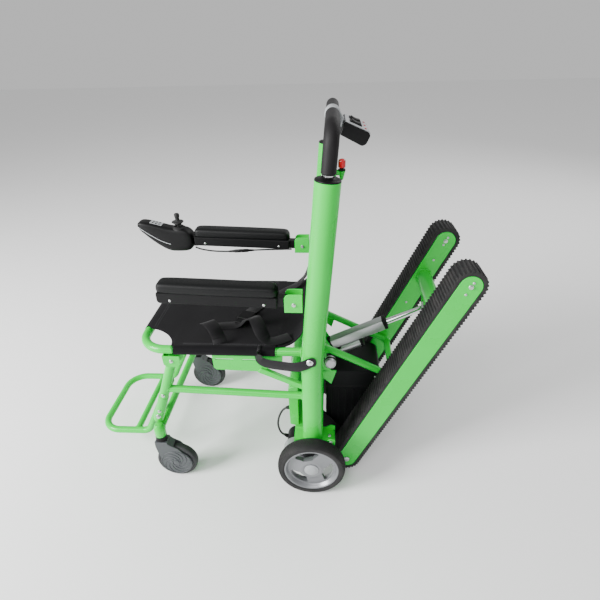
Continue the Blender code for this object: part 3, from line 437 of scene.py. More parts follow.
box_outline = [box_face(b, u) for b, u in ((0.0065, -0.003), (0.0700, 0.0005), (0.0765, -0.005),
                                           (0.0768, -0.026), (0.0700, -0.0338), (0.0100, -0.0338))]
make("attendant_box", [plate_x(box_outline, -0.0615, 0.0615)], moulded_abs, "handle", ["control_box"],
     bevel=0.0035)
face = [box_face(b, u) for b, u in ((0.0085, -0.001), (0.0700, 0.0030), (0.0745, -0.0005), (0.0745, -0.004),
                                    (0.0085, -0.004))]
face_parts = [plate_x(face, -0.0560, 0.0560)]
make("attendant_face", face_parts, silver_film, "handle", bevel=0.0014)
frames_round_keys = []
for key_x in (0.026, -0.026):
    rim = [box_face(b, u) for b, u in ((0.0195, -0.002), (0.0505, -0.002), (0.0505, 0.0042), (0.0195, 0.0027))]
    frames_round_keys.append(plate_x(rim, key_x - 0.0145, key_x + 0.0145))
make("key_bezels", frames_round_keys, moulded_abs, "handle", bevel=0.0008)
for key_name, key_x in (("climb_rocker", 0.026), ("drive_rocker", -0.026)):
    key = [box_face(b, u) for b, u in ((0.0230, -0.0010), (0.0470, -0.0010), (0.0470, 0.0068), (0.0400, 0.0054),
                                       (0.0350, 0.0046), (0.0300, 0.0048), (0.0230, 0.0056))]
    make(f"{key_name}_key", [plate_x(key, key_x - 0.0110, key_x + 0.0110)], hole_black, key_name, [key_name],
         bevel=0.0009)
lamps = []
for lamp_x in (-0.046, 0.0, 0.046):
    y, z = box_face(0.0600, 0.0022)
    y2, z2 = box_face(0.0600, 0.0040)
    lamps.append(bar([spot(lamp_x, y, z), spot(lamp_x, y2, z2)], 0.0028, 20))
red_gloss, _, _ = finish_of("red_gloss_plastic", "#C8101E", 0.22, Coat_Weight=0.4, Coat_Roughness=0.08)
make("box_lamps", lamps, red_gloss, "handle", bevel=0.0006)

# The stop switch: a red moulded cap that latches down on a black collar, standing on the boss.
cap = [(0.0095, 0.0), (0.0095, 0.0062), (0.0050, 0.0062), (0.0050, 0.0100), (0.0064, 0.0112), (0.0230, 0.0113),
       (0.0265, 0.0106), (0.0290, 0.0085), (0.0304, 0.0050), (0.0309, 0.0)]
make("stop_cap", [turned(cap, (0, 0, 1), boss_top(), 40)], red_gloss, "emergency_knob", ["emergency_knob"])
ring = [(0.0052, 0.0), (0.0052, 0.0048), (0.0004, 0.0050), (0.0004, 0.0110), (-0.0042, 0.0116),
        (-0.0048, 0.0110), (-0.0048, 0.0105), (-0.0020, 0.0100), (-0.0020, 0.0)]
make("stop_collar", [turned(ring, (0, 0, 1), boss_top(), 40)], moulded_abs, "frame")

# ------------------------------------------------------------------ welded frame
# Seat rails, low stretchers, legs, castor beam, crossbar and brace are round steel tube, welded to the posts
# with a rippled bead round every joint and powder-coated with them.
RAIL_R = 0.0125
SEAT_Z = 0.477
SEAT_X = 0.190
LEG_R = 0.014
STRETCHER_R = 0.011
CROSS_R = 0.0115
BRACE_R = 0.0105
leg_top, leg_foot = spot(0, -0.388, 0.447), spot(0, -0.471, 0.212)


def joint_loop(start, towards, radius, axis_at, axis, thick, sides=44):
    """Where the skin of a tube meets the skin of a round bar that it runs into."""
    ahead = (towards - start).normalized()
    axis = axis.normalized()
    side = ahead.orthogonal().normalized()
    other = ahead.cross(side)
    loop = []
    for i in range(sides):
        turn = 2 * math.pi * i / sides
        point = start + (side * math.cos(turn) + other * math.sin(turn)) * radius
        away = point - axis_at
        away -= axis * away.dot(axis)
        step = ahead - axis * ahead.dot(axis)
        b, c = away.dot(step), away.dot(away) - thick ** 2
        root = math.sqrt(max(b * b - step.dot(step) * c, 0.0))
        loop.append(point + ahead * (-b - root) / step.dot(step))
    return loop


def bead(loop, radius=0.0022):
    """A closed weld bead, with the small ripples of the puddle."""
    count = len(loop)
    points, section = [], round_section(1.0, 10)
    for i, point in enumerate(loop):
        along = (loop[(i + 1) % count] - loop[i - 1]).normalized()
        side = along.orthogonal().normalized()
        other = along.cross(side)
        thick = radius * (1 + 0.14 * math.cos(math.pi * i))
        points += [point + (side * u + other * v) * thick for u, v in section]
    return points, ring_faces(count, 10, closed=True)


def ring_at(centre, axis, radius, sides=44):
    axis = Vector(axis).normalized()
    side = axis.orthogonal().normalized()
    other = axis.cross(side)
    turns = [2 * math.pi * i / sides for i in range(sides)]
    return [Vector(centre) + (side * math.cos(t) + other * math.sin(t)) * radius for t in turns]


def leg_at(x, share):
    return beside(x, leg_top + (leg_foot - leg_top) * share)


rail_corners = [spot(SEAT_X, -0.020, SEAT_Z), spot(SEAT_X, -0.480, SEAT_Z), spot(-SEAT_X, -0.480, SEAT_Z),
                spot(-SEAT_X, -0.020, SEAT_Z)]
seat_tube = [bar(rounded(rail_corners, 0.075, 14), RAIL_R, 36, (0, 0, 1))]
for _, sign in SIDES:
    seat_tube.append(bead(joint_loop(spot(SEAT_X * sign, -0.10, SEAT_Z), spot(SEAT_X * sign, 0.0, SEAT_Z),
                                     RAIL_R, beside(POST_X * sign, post_knee), Vector((0, 0, 1)), POST_R)))
make("seat_tube", seat_tube, powder, "frame", ["seat_frame"])
for side, sign in SIDES:
    x = SEAT_X * sign
    front, back = leg_at(x, 0.47), spot(x, -0.021, 0.3210)
    low_rail = [bar([front, back], STRETCHER_R, 32),
                bead(joint_loop(front, back, STRETCHER_R, beside(POST_X * sign, post_foot), Vector((0, 0, 1)),
                                POST_R)),
                bead(joint_loop(back, front, STRETCHER_R, front, leg_foot - leg_top, LEG_R), 0.0019)]
    make(f"low_rail_{side}", low_rail, powder, "frame", [f"stretcher_{side}"])
    leg_parts = [bar([leg_at(x, -0.04), leg_at(x, 1.0)], LEG_R, 36),
                 bar([leg_at(x, 0.60), leg_at(x, 0.985)], 0.0152, 36)]
    for edge in (-1, 1):
        cheek = [(-0.4105, 0.4655), (-0.4095, 0.4370), (-0.4010, 0.4285), (-0.3710, 0.4285), (-0.3625, 0.4400),
                 (-0.3620, 0.4655)]
        leg_parts.append(plate_x(cheek, x + edge * 0.0140, x + edge * 0.0172))
    leg_parts.append(plate_x([(-0.4105, 0.4655), (-0.4095, 0.4400), (-0.4065, 0.4400), (-0.4070, 0.4655)],
                             x - 0.0145, x + 0.0145))
    make(f"front_leg_tube_{side}", leg_parts, powder, "frame", [f"front_leg_{side}"],
         bevel=0.0006)
beam_parts = [bar([spot(0.205, -0.462, 0.192), spot(-0.205, -0.462, 0.192)], CROSS_R, 36, (0, 0, 1))]
stem_cups = []
for _, sign in SIDES:
    stem = spot(0.212 * sign, -0.464, 0)
    cup = [(0.1690, 0.0085), (0.1690, 0.0165), (0.1700, 0.0170), (0.1950, 0.0170), (0.1975, 0.0164),
           (0.2115, 0.0125), (0.2130, 0.0105), (0.2130, 0.0), (0.1850, 0.0), (0.1850, 0.0085)]
    beam_parts.append(turned(cup, (0, 0, 1), stem, 48))
    beam_parts.append(bead(joint_loop(spot(0.12 * sign, -0.462, 0.192), spot(0.2 * sign, -0.462, 0.192), CROSS_R,
                                      stem, Vector((0, 0, 1)), 0.0170), 0.0020))
    ring = [(0.1518, 0.0090), (0.1518, 0.0165), (0.1530, 0.0178), (0.1560, 0.0180), (0.1575, 0.0172),
            (0.1685, 0.0172), (0.1692, 0.0160), (0.1692, 0.0090)]
    stem_cups.append(turned(ring, (0, 0, 1), stem, 48))
make("castor_beam_tube", beam_parts, powder, "frame", ["castor_beam"])
make("stem_bearing_cups", stem_cups, moulded_abs, "frame")

crossbar_parts = [bar([spot(0.190, 0.006, 0.440), spot(-0.190, 0.006, 0.440)], CROSS_R, 36, (0, 0, 1))]
brace_parts = []
brace_top, brace_low = spot(0.095, 0.018, 0.4338), spot(0.095, 0.241, 0.321)
for _, sign in SIDES:
    crossbar_parts.append(bead(joint_loop(spot(0.1 * sign, 0.006, 0.440), spot(0.2 * sign, 0.006, 0.440),
                                          CROSS_R, beside(POST_X * sign, post_foot), Vector((0, 0, 1)),
                                          POST_R)))
    ear = [(-0.004, 0.438), (0.018, 0.438), (0.0535, 0.376), (0.0535, 0.358), (0.046, 0.3485), (0.022, 0.3485),
           (0.012, 0.362)]
    crossbar_parts.append(plate_x(ear, 0.0200 * sign, 0.0240 * sign))
    mouth = beside(0.095 * sign, brace_top)
    brace_parts.append(bead(joint_loop(beside(0.095 * sign, brace_low), mouth, BRACE_R, spot(0, 0.006, 0.440),
                                       Vector((1, 0, 0)), CROSS_R), 0.0019))
    gusset = [(0.0315, 0.3850), (0.0700, 0.3830), (0.0560, 0.3340), (0.0310, 0.3560)]
    crossbar_parts.append(plate_x(gusset, 0.1480 * sign, 0.1520 * sign))
    web = [(0.0040, 0.4420), (0.0160, 0.4400), (0.0560, 0.3830), (0.0315, 0.3800), (0.0060, 0.3900)]
    crossbar_parts.append(plate_x(web, 0.1480 * sign, 0.1520 * sign))
make("rear_cross_tube", crossbar_parts, powder, "frame", ["rear_crossbar"], bevel=0.0006)
down = (brace_low - brace_top).normalized()
brace_line = rounded([brace_top, brace_low, beside(-0.095, brace_low), beside(-0.095, brace_top)], 0.018, 8)
brace_parts.append(bar(brace_line, BRACE_R, 32, Vector((1, 0, 0)).cross(down)))
make("brace_tube", brace_parts, powder, "frame", ["brace_frame"])


# ------------------------------------------------------------------ brackets
# Laser-cut plate: the slotted plate and strut under each rail, the clevis for each arm, the base channel with
# its panel, and the arms that hold the track axle. Their edges are eased by the powder.
def carved(mesh, cutters):
    """The mesh with closed shapes cut out of it."""
    block = bpy.data.objects.new("carved", mesh)
    bpy.context.scene.collection.objects.link(block)
    helpers = []
    for shape in cutters:
        helper = bpy.data.objects.new("cutter", put_together("cutter", [shape]))
        bpy.context.scene.collection.objects.link(helper)
        helper.hide_render = True
        cut = block.modifiers.new("cut", "BOOLEAN")
        cut.solver = "EXACT"
        cut.object = helper
        helpers.append(helper)
    done = bpy.data.meshes.new_from_object(block.evaluated_get(bpy.context.evaluated_depsgraph_get()))
    for old in [block] + helpers:
        bpy.data.objects.remove(old)
    return done


def slot_x(y, z, length, height, low, high):
    """A cutter with round ends, through a plate that faces sideways."""
    outline = []
    for end in (1, -1):
        for i in range(9):
            turn = math.radians(-90 + 22.5 * i)
            u = end * (length / 2 - height / 2 + height / 2 * math.cos(turn))
            v = end * height / 2 * math.sin(turn)
            outline.append((y + u, z + v))
    return plate_x(outline, low, high)


def sweep_arc(y, z, radius, start, stop, steps=12):
    """Points on an arc in the side view, in degrees."""
    return [(y + radius * math.cos(math.radians(start + (stop - start) * i / steps)),
             z + radius * math.sin(math.radians(start + (stop - start) * i / steps))) for i in range(steps + 1)]


for side, sign in SIDES:
    x = SEAT_X * sign
    sheet_outline = [(-0.2750, 0.4660), (-0.2735, 0.4180), (-0.2660, 0.4115), (-0.1500, 0.4080),
                     (-0.1300, 0.4140), (-0.0800, 0.4400), (-0.0780, 0.4660)]
    slots = [slot_x(-0.2410, 0.4480, 0.052, 0.0035, x - 0.01, x + 0.01),
             slot_x(-0.1660, 0.4470, 0.052, 0.0035, x - 0.01, x + 0.01)]
    plate_mesh = carved(put_together("plate", [plate_x(sheet_outline, x - 0.0018, x + 0.0018)]), slots)
    fit(f"rail_plate_{side}", plate_mesh, powder, "frame", [f"side_plate_{side}"], bevel=0.0005)
    strut = [(-0.1500, 0.4080), (-0.0235, 0.3470), (-0.0235, 0.3650), (-0.1400, 0.4230)]
    make(f"strut_{side}", [plate_x(strut, x - 0.0068, x + 0.0068)], powder, "frame", [f"side_plate_{side}"],
         bevel=0.0024)

    arm_x = 0.184 * sign
    clevis = [(-0.0665, 0.6075), (-0.0665, 0.6460)] + sweep_arc(-0.0525, 0.6460, 0.0140, 180, 90, 8)
    clevis += [(-0.0200, 0.6600), (-0.0200, 0.6075)]
    bridge = [(-0.0235, 0.6075), (-0.0235, 0.6600), (-0.0200, 0.6600), (-0.0200, 0.6075)]
    clevis_parts = [plate_x(clevis, arm_x - 0.0165, arm_x - 0.0126),
                    plate_x(clevis, arm_x + 0.0126, arm_x + 0.0165),
                    plate_x(bridge, arm_x - 0.0160, arm_x + 0.0160)]
    make(f"arm_clevis_{side}", clevis_parts, powder, "frame", [f"arm_bracket_{side}"],
         bevel=0.0009)

base_parts = [plate_x([(-0.0530, 0.1547), (0.0320, 0.1547), (0.0320, 0.1747), (-0.0530, 0.1747)], -0.1740,
                      0.1740)]
for _, sign in SIDES:
    base_parts.append(plate_x([(-0.0530, 0.1547), (0.0690, 0.1547), (0.0690, 0.1620), (0.0600, 0.1700),
                               (0.0420, 0.1747), (-0.0530, 0.1747)], 0.1700 * sign, 0.2310 * sign))
    for edge in (0.1725, 0.2285):
        flange = [(-0.0520, 0.1700), (0.0690, 0.1700), (0.0690, 0.1860)] + sweep_arc(0.058, 0.1780, 0.0110, 90,
                                                                                     130, 4)
        base_parts.append(plate_x(flange + [(0.0400, 0.1800), (-0.0400, 0.1800), (-0.0520, 0.1860)],
                                  (edge - 0.0020) * sign, (edge + 0.0020) * sign))
axle_arms = []
for _, sign in SIDES:
    arm_out = [(-0.0300, 0.1700), (0.0300, 0.1700), (0.1235, 0.0620)] + sweep_arc(0.107, 0.050, 0.0200, 35,
                                                                                  -130, 12)
    axle_arms.append(plate_x(arm_out + [(-0.0300, 0.1300)], 0.0860 * sign, 0.0925 * sign))
base_mesh = carved(put_together("base", base_parts[:1]), [
    plate_x([(-0.0490, 0.150), (0.0280, 0.150), (0.0280, 0.1707), (-0.0490, 0.1707)], -0.168, 0.168)])
fit("base_channel", base_mesh, powder, "frame", ["base_frame"], bevel=0.0010)
make("base_feet", base_parts[1:], powder, "frame", ["base_frame"], bevel=0.0010)
steel_black = grained("black_enamelled_steel", "#070708", "#101011", 0.38, 0.0012, 0.10, Specular_IOR_Level=0.2)
make("axle_arms", axle_arms, steel_black, "frame", bevel=0.0010)
panel = [(-0.0690, 0.1760), (-0.0720, 0.3120), (-0.0660, 0.3210), (-0.0460, 0.3300), (-0.0420, 0.3300),
         (-0.0420, 0.1700), (-0.0520, 0.1700)]
make("front_panel", [plate_x(panel, -0.1600, 0.1600)], powder, "frame", ["base_frame"],
     bevel=0.0022)

# ------------------------------------------------------------------ arms and pads
# Rectangular steel arm bars turn in the clevises and carry moulded pads of skinned foam. The right one ends
# in a small bracket for the driving controls.
ARM_SLOPE = math.radians(2.3)
pivot_y, pivot_z = -0.042, 0.630


def on_arm(forward, up):
    """A (y, z) place on an arm, measured forwards along it and up from its pivot."""
    return (pivot_y - forward * math.cos(ARM_SLOPE) + up * math.sin(ARM_SLOPE),
            pivot_z + forward * math.sin(ARM_SLOPE) + up * math.cos(ARM_SLOPE))


def soft_box(half_wide, half_high, power=4.0, sides=56):
    """The points of a box section with very round corners."""
    section = []
    for i in range(sides):
        turn = 2 * math.pi * i / sides
        c, s = math.cos(turn), math.sin(turn)
        section.append((half_wide * math.copysign(abs(c) ** (2 / power), c),
                        half_high * math.copysign(abs(s) ** (2 / power), s)))
    return section


def lofted(stations, sides=56, power=4.0):
    """A solid through sections that all stand across Y: each station is x, y, low z, high z and half width."""
    points = []
    for x, y, low, high, half in stations:
        points += [spot(x + u, y, (low + high) / 2 + v) for u,
                   v in soft_box(half, (high - low) / 2, power, sides)]
    faces = ring_faces(len(stations), sides)
    return points, faces + [tuple(range(sides)), tuple(range(len(points) - sides, len(points)))]

def skinned_foam():
    """Self-skinned polyurethane: a fine leather grain, greyer and shinier where sleeves rub it."""
    made, tree, shader = finish_of("skinned_pu_foam", "#0A0B0B", 0.5, Specular_IOR_Level=0.2)
    place = add(tree, "ShaderNodeTexCoord").outputs["Object"]
    cells = add(tree, "ShaderNodeTexVoronoi", {"Vector": place, "Scale": 620.0}, feature="DISTANCE_TO_EDGE")
    crease = add(tree, "ShaderNodeMapRange", {"Value": cells.outputs["Distance"], "From Max": 0.16})
    relief(tree, shader, crease.outputs["Result"], 0.3, 0.0004)
    rubbed = add(tree, "ShaderNodeTexNoise", {"Vector": place, "Scale": 11.0, "Detail": 3.0})
    dull = add(tree, "ShaderNodeMapRange", {"Value": rubbed.outputs["Fac"], "From Min": 0.3, "From Max": 0.7,
                                            "To Min": 0.36, "To Max": 0.56})
    tree.links.new(dull.outputs["Result"], shader.inputs["Roughness"])
    two_tone(tree, shader, rubbed.outputs["Fac"], "#070808", "#0D0E0F")
    return made


pad_skin = skinned_foam()
for side, sign in SIDES:
    x = 0.184 * sign
    arm = [on_arm(f, u) for f, u in ((-0.0118, -0.0060), (-0.0080, -0.0100), (0.3420, -0.0100),
                                     (0.3420, 0.0172), (0.0040, 0.0172), (-0.0080, 0.0140),
                                     (-0.0118, 0.0100))]
    make(f"arm_beam_{side}", [plate_x(arm, x - 0.0116, x + 0.0116)], steel_black, f"arm_{side}",
         [f"arm_bar_{side}"], bevel=0.0020)
    tray = [on_arm(f, u) for f, u in ((0.0420, -0.0095), (0.3440, -0.0095), (0.3500, -0.0040), (0.3505, 0.0200),
                                      (0.0415, 0.0200))]
    make(f"pad_tray_{side}", [plate_x(tray, x - 0.0228, x + 0.0228)], moulded_abs, f"arm_{side}",
         bevel=0.0032)
    stations = []
    for i in range(45):
        share = i / 44
        reach = 2 * share - 1
        ease = (1 - abs(reach) ** 14) ** (1 / 3.2) if 0 < i < 44 else 0.0
        swell = 0.93 + 0.07 * math.cos(math.pi * reach / 2)
        wide = 0.0256 * (0.62 + 0.38 * ease) * swell
        low_u, high_u = 0.0165 + 0.0045 * (1 - ease), 0.0482 - 0.0130 * (1 - ease) - 0.0010 * (1 - swell)
        y_low, z_low = on_arm(0.0405 + 0.3110 * share, low_u)
        _, z_high = on_arm(0.0405 + 0.3110 * share, high_u)
        stations.append((x, y_low, z_low, z_high, wide))
    pad = make(f"arm_cushion_{side}", [lofted(stations, 64, 3.4)], pad_skin, f"arm_{side}", [f"arm_pad_{side}"],
               soft=1)

# ------------------------------------------------------------------ driving controls
# A moulded joystick case with a drooping nose, a pleated rubber boot, a silver trim line and a keypad. Its
# lead hangs under the arm with an inline plug and goes into the clevis.
case_line = [(-0.3966, 0.6345, 0.6600, 0.0180), (-0.4000, 0.6260, 0.6690, 0.0225),
             (-0.4070, 0.6175, 0.6800, 0.0250), (-0.4190, 0.6132, 0.6880, 0.0259),
             (-0.4330, 0.6118, 0.6900, 0.0260), (-0.4560, 0.6112, 0.6905, 0.0260),
             (-0.4740, 0.6120, 0.6930, 0.0260), (-0.4900, 0.6190, 0.6975, 0.0260),
             (-0.5140, 0.6345, 0.7040, 0.0256), (-0.5380, 0.6560, 0.7100, 0.0248),
             (-0.5560, 0.6735, 0.7132, 0.0232), (-0.5670, 0.6840, 0.7118, 0.0208),
             (-0.5722, 0.6930, 0.7080, 0.0172), (-0.5738, 0.6985, 0.7045, 0.0125)]


def case_at(y):
    """The controller's section at any y along it."""
    for a, b in zip(case_line, case_line[1:]):
        if b[0] <= y <= a[0]:
            t = (y - a[0]) / (b[0] - a[0])
            return tuple(p + (q - p) * t for p, q in zip(a, b))
    return case_line[-1]


make("joystick_case", [lofted([(-0.184, *s) for s in case_line], 64, 4.2)], moulded_abs, "arm_r",
            ["controller_case"], soft=1)
make("case_bracket", [plate_x([(-0.4000, 0.6280), (-0.3845, 0.6280), (-0.3845, 0.6460), (-0.4000, 0.6480)],
                              -0.1930, -0.1750)], steel_black, "arm_r", bevel=0.0010)
trim_line = []
for side in (1, -1):
    half_line = []
    for y in (-0.4700, -0.4820, -0.4950, -0.5100, -0.5250, -0.5400, -0.5530, -0.5640, -0.5700, -0.5730):
        _, low, high, half = case_at(y)
        half_line.append(spot(-0.184 + side * half * 1.002, y, low + 0.36 * (high - low)))
    trim_line += half_line if side == 1 else half_line[::-1]
make("case_trim", [bar(smooth_line(trim_line, 5), 0.0010, 10, (0, 0, 1))], silver_film, "arm_r")
keypad, keys = [], []
for back, half, lift, where in ((0.0, 0.0125, 0.0006, keypad), (-0.0065, 0.0030, 0.0016, keys),
                                (0.0065, 0.0030, 0.0016, keys)):
    if where is keypad:
        y0, y1 = -0.4960, -0.5330
        outline = [(y0, case_at(y0)[2] - 0.001), (y1, case_at(y1)[2] - 0.001), (y1, case_at(y1)[2] + lift),
                   (y0, case_at(y0)[2] + lift)]
        where.append(plate_x(outline, -0.184 - half, -0.184 + half))
    else:
        for y in (-0.5050, -0.5150, -0.5250):
            top = case_at(y)[2]
            where.append(bar([spot(-0.184 + back, y, top - 0.001), spot(-0.184 + back, y, top + lift)], half,
                             24))
make("keypad_panel", keypad, silver_film, "arm_r", bevel=0.0004)
make("keypad_keys", keys, hole_black, "arm_r", bevel=0.0006)
make("horn_button", [bar([spot(-0.184, -0.4500, 0.6125), spot(-0.184, -0.4500, 0.6085)], 0.0050, 28)],
     red_gloss, "arm_r", bevel=0.0010)
gate = spot(-0.184, -0.444, 0.690)
gate_ring = [(-0.006, 0.0125), (0.0030, 0.0125), (0.0042, 0.0150), (0.0036, 0.0166), (0.0020, 0.0166),
             (0.0014, 0.0190), (0.0002, 0.0198), (-0.0004, 0.0218), (-0.006, 0.0225)]
make("gate_ring", [turned(gate_ring, (0, 0, 1), gate, 48)], hole_black, "arm_r")
stick_pivot = gate + Vector((0, 0, -0.012))
boot = [(-0.006, 0.0030), (0.0225, 0.0030), (0.0228, 0.0120), (0.0245, 0.0128), (0.0262, 0.0118),
        (0.0272, 0.0122), (0.0284, 0.0180), (0.0300, 0.0192), (0.0318, 0.0180), (0.0328, 0.0110),
        (0.0345, 0.0090), (0.0360, 0.0072), (0.0400, 0.0066), (0.0440, 0.0070), (0.0480, 0.0082),
        (0.0550, 0.0084), (0.0575, 0.0070), (0.0582, 0.0040), (0.0582, 0.0), (-0.006, 0.0)]
make("stick_and_boot", [turned(boot, (0, 0, 1), stick_pivot, 48)], hole_black, "joystick", ["joystick"])
ring_profile = [(-0.004, 0.0088), (-0.004, 0.0122), (-0.0034, 0.0125), (0.0034, 0.0125), (0.004, 0.0122),
                (0.004, 0.0088)]
cast_alloy = grained("satin_cast_alloy", "#A4A6A8", "#B6B8BA", 0.38, 0.0016, 0.12, Metallic=0.75)
make("gimbal_ring", [turned(ring_profile, (0, 0, 1), stick_pivot, 40)], cast_alloy, "gimbal",
     ["joystick_gimbal"])

cable_skin = grained("black_cable_pvc", "#101011", "#1A1A1B", 0.40, 0.0020, 0.06)
lead_points = [(-0.3975, 0.620), (-0.389, 0.616), (-0.372, 0.611), (-0.340, 0.606), (-0.300, 0.6045),
               (-0.262, 0.606), (-0.215, 0.609), (-0.165, 0.6115), (-0.115, 0.613), (-0.078, 0.614)]
lead_line = smooth_line([spot(-0.184, y, z) for y, z in lead_points], 8)
lead = make("control_lead", [bar(lead_line, 0.0026, 20)], cable_skin, "arm_r", ["controller_lead"])
plug_profile = [(-0.0420, 0.0026), (-0.0420, 0.0031), (-0.0240, 0.0042), (-0.0225, 0.0054), (-0.0010, 0.0056),
                (-0.0006, 0.0048), (0.0006, 0.0048), (0.0010, 0.0056), (0.0225, 0.0054), (0.0240, 0.0042),
                (0.0420, 0.0031), (0.0420, 0.0026)]
plug = make("lead_plug", [turned(plug_profile, (0, 1, 0.06), spot(-0.184, -0.245, 0.6072), 32)], moulded_abs,
            "arm_r")


# ------------------------------------------------------------------ footrest
# One loop of tube with a bar welded across it, hung from pins in the legs so that it folds up in front.
FOOT_X = 0.136
FOOT_R = 0.011
foot_pivot, foot_heel, foot_front = spot(0, -0.437, 0.315), spot(0, -0.540, 0.104), spot(0, -0.702, 0.102)
heel = rounded([beside(FOOT_X, foot_pivot), beside(FOOT_X, foot_heel), beside(FOOT_X, foot_front)], 0.030, 10)
toe = rounded([heel[-2], beside(FOOT_X, foot_front), beside(-FOOT_X, foot_front), beside(-FOOT_X, heel[-2])],
              0.060, 14)
foot_line = heel[:-1] + toe[1:-1] + [beside(-p.x, p) for p in reversed(heel[:-1])]
foot_parts = [bar(foot_line, FOOT_R, 32), bar([spot(FOOT_X, -0.580, 0.104), spot(-FOOT_X, -0.580, 0.104)], 0.010,
                                             32,
                                            (0, 0, 1))]
for _, sign in SIDES:
    foot_parts.append(bead(joint_loop(spot(0.05 * sign, -0.580, 0.104), spot(0.13 * sign, -0.580, 0.104), 0.010,
                                      beside(FOOT_X * sign, foot_heel), foot_front - foot_heel, FOOT_R), 0.0019))
    eye = [(-0.0085, 0.0), (-0.0085, 0.0128), (-0.0078, 0.0135), (0.0078, 0.0135), (0.0085, 0.0128),
           (0.0085, 0.0)]
    foot_parts.append(turned(eye, (1, 0, 0), beside(FOOT_X * sign, foot_pivot), 40))
    foot_parts.append(bar([beside(FOOT_X * sign, foot_pivot), beside(0.1745 * sign, foot_pivot)], 0.005, 28))
make("footrest_loop", foot_parts, powder, "footrest", ["footrest"])

# ------------------------------------------------------------------ drive
# Two cast gear motors stand in front of the wheels and carry their axle stubs. The battery and control case
# hangs between the tracks, and a lead loops from the panel to the left motor.
for side, sign in SIDES:
    housing = sweep_arc(-0.046, 0.112, 0.0415, 90, 270, 20) + sweep_arc(0.0, 0.1015, 0.0355, 270, 450, 20)
    make(f"gear_housing_{side}", [plate_x(housing, 0.1885 * sign, 0.2280 * sign)], cast_alloy, "frame",
         [f"wheel_motor_{side}"], bevel=0.0030)
    can = [(0.1290, 0.0), (0.1290, 0.0260), (0.1305, 0.0300), (0.1345, 0.0330), (0.1400, 0.0338),
           (0.1402, 0.0330), (0.1425, 0.0330), (0.1427, 0.0338), (0.1840, 0.0338), (0.1842, 0.0320),
           (0.1900, 0.0320), (0.1900, 0.0)]
    make(f"motor_can_{side}", [turned([(a * sign, r) for a, r in can], (1, 0, 0), spot(0, -0.046, 0.112), 56)],
         steel_black, "frame")
    stub = [(0.2200, 0.0), (0.2200, 0.0160), (0.2300, 0.0160), (0.2310, 0.0150), (0.2310, 0.0079),
            (0.2680, 0.0079), (0.2680, 0.0)]
    make(f"axle_stub_{side}", [turned([(a * sign, r) for a, r in stub], (1, 0, 0), spot(0, 0, 0.1015), 48)],
         cast_alloy, "frame")

case_black = grained("black_case_shell", "#060607", "#0D0E10", 0.52, 0.0018, 0.30, Specular_IOR_Level=0.15)
box_side = [(0.0400, 0.0900), (0.0400, 0.3160), (0.0520, 0.3260), (0.1780, 0.3260), (0.2060, 0.3110),
            (0.2260, 0.2000), (0.1960, 0.0960), (0.1760, 0.0780), (0.0520, 0.0780)]
make("power_case", [plate_x(box_side, -0.0825, 0.0825)], case_black, "frame", ["battery_case"],
     bevel=0.0075)
band = [(0.0392, 0.2640), (0.0392, 0.2700), (0.2138, 0.2700), (0.2149, 0.2640)]
make("case_band", [plate_x(band, -0.0832, 0.0832)], moulded_abs, "frame", bevel=0.0012)
ribs = []
for i in range(7):
    y = 0.058 + 0.0215 * i
    for _, sign in SIDES:
        ribs.append(plate_x([(y, 0.100), (y + 0.0055, 0.100), (y + 0.0055, 0.2550), (y, 0.2550)], 0.0820 * sign,
                            0.0842 * sign))
make("case_ribs", ribs, case_black, "frame", bevel=0.0010)
meter = [(0.1380, 0.0), (0.1380, 0.0135), (0.1390, 0.0155), (0.1440, 0.0165), (0.1560, 0.0165),
         (0.1600, 0.0150), (0.1610, 0.0120), (0.1600, 0.0110), (0.1600, 0.0)]
make("rear_socket", [turned(meter, (1, 0, 0), spot(0, 0.0520, 0.4130), 44)], cast_alloy, "frame")
nut = [(0.1470, 0.0160), (0.1470, 0.0180), (0.1520, 0.0180), (0.1520, 0.0160)]
make("socket_ring", [turned(nut, (1, 0, 0), spot(0, 0.0520, 0.4130), 44)], moulded_abs, "frame")

motor_points = [(-0.0725, 0.236), (-0.082, 0.233), (-0.094, 0.220), (-0.104, 0.196), (-0.109, 0.168),
                (-0.106, 0.142), (-0.098, 0.124), (-0.0835, 0.1150)]
motor_line = smooth_line([spot(0.150, y, z) for y, z in motor_points], 8)
motor_cable = make("motor_cable", [bar(motor_line, 0.0032, 20)], cable_skin, "frame", ["motor_lead"])
grommets = [turned([(-0.004, 0.0028), (-0.004, 0.0062), (-0.001, 0.0066), (0.004, 0.0050), (0.008, 0.0044),
                    (0.008, 0.0028)], end, at, 28)
            for end, at in ((motor_line[1] - motor_line[0], motor_line[0]),
                            (motor_line[-2] - motor_line[-1], motor_line[-1]))]
glands = make("cable_glands", grommets, moulded_abs, "frame")

# ------------------------------------------------------------------ driven wheels
# A silver-painted die-cast wheel with three broad spokes and a domed hub cap, and a solid black tyre whose
# tread is moulded in small blocks.
HUB_Z = 0.1015


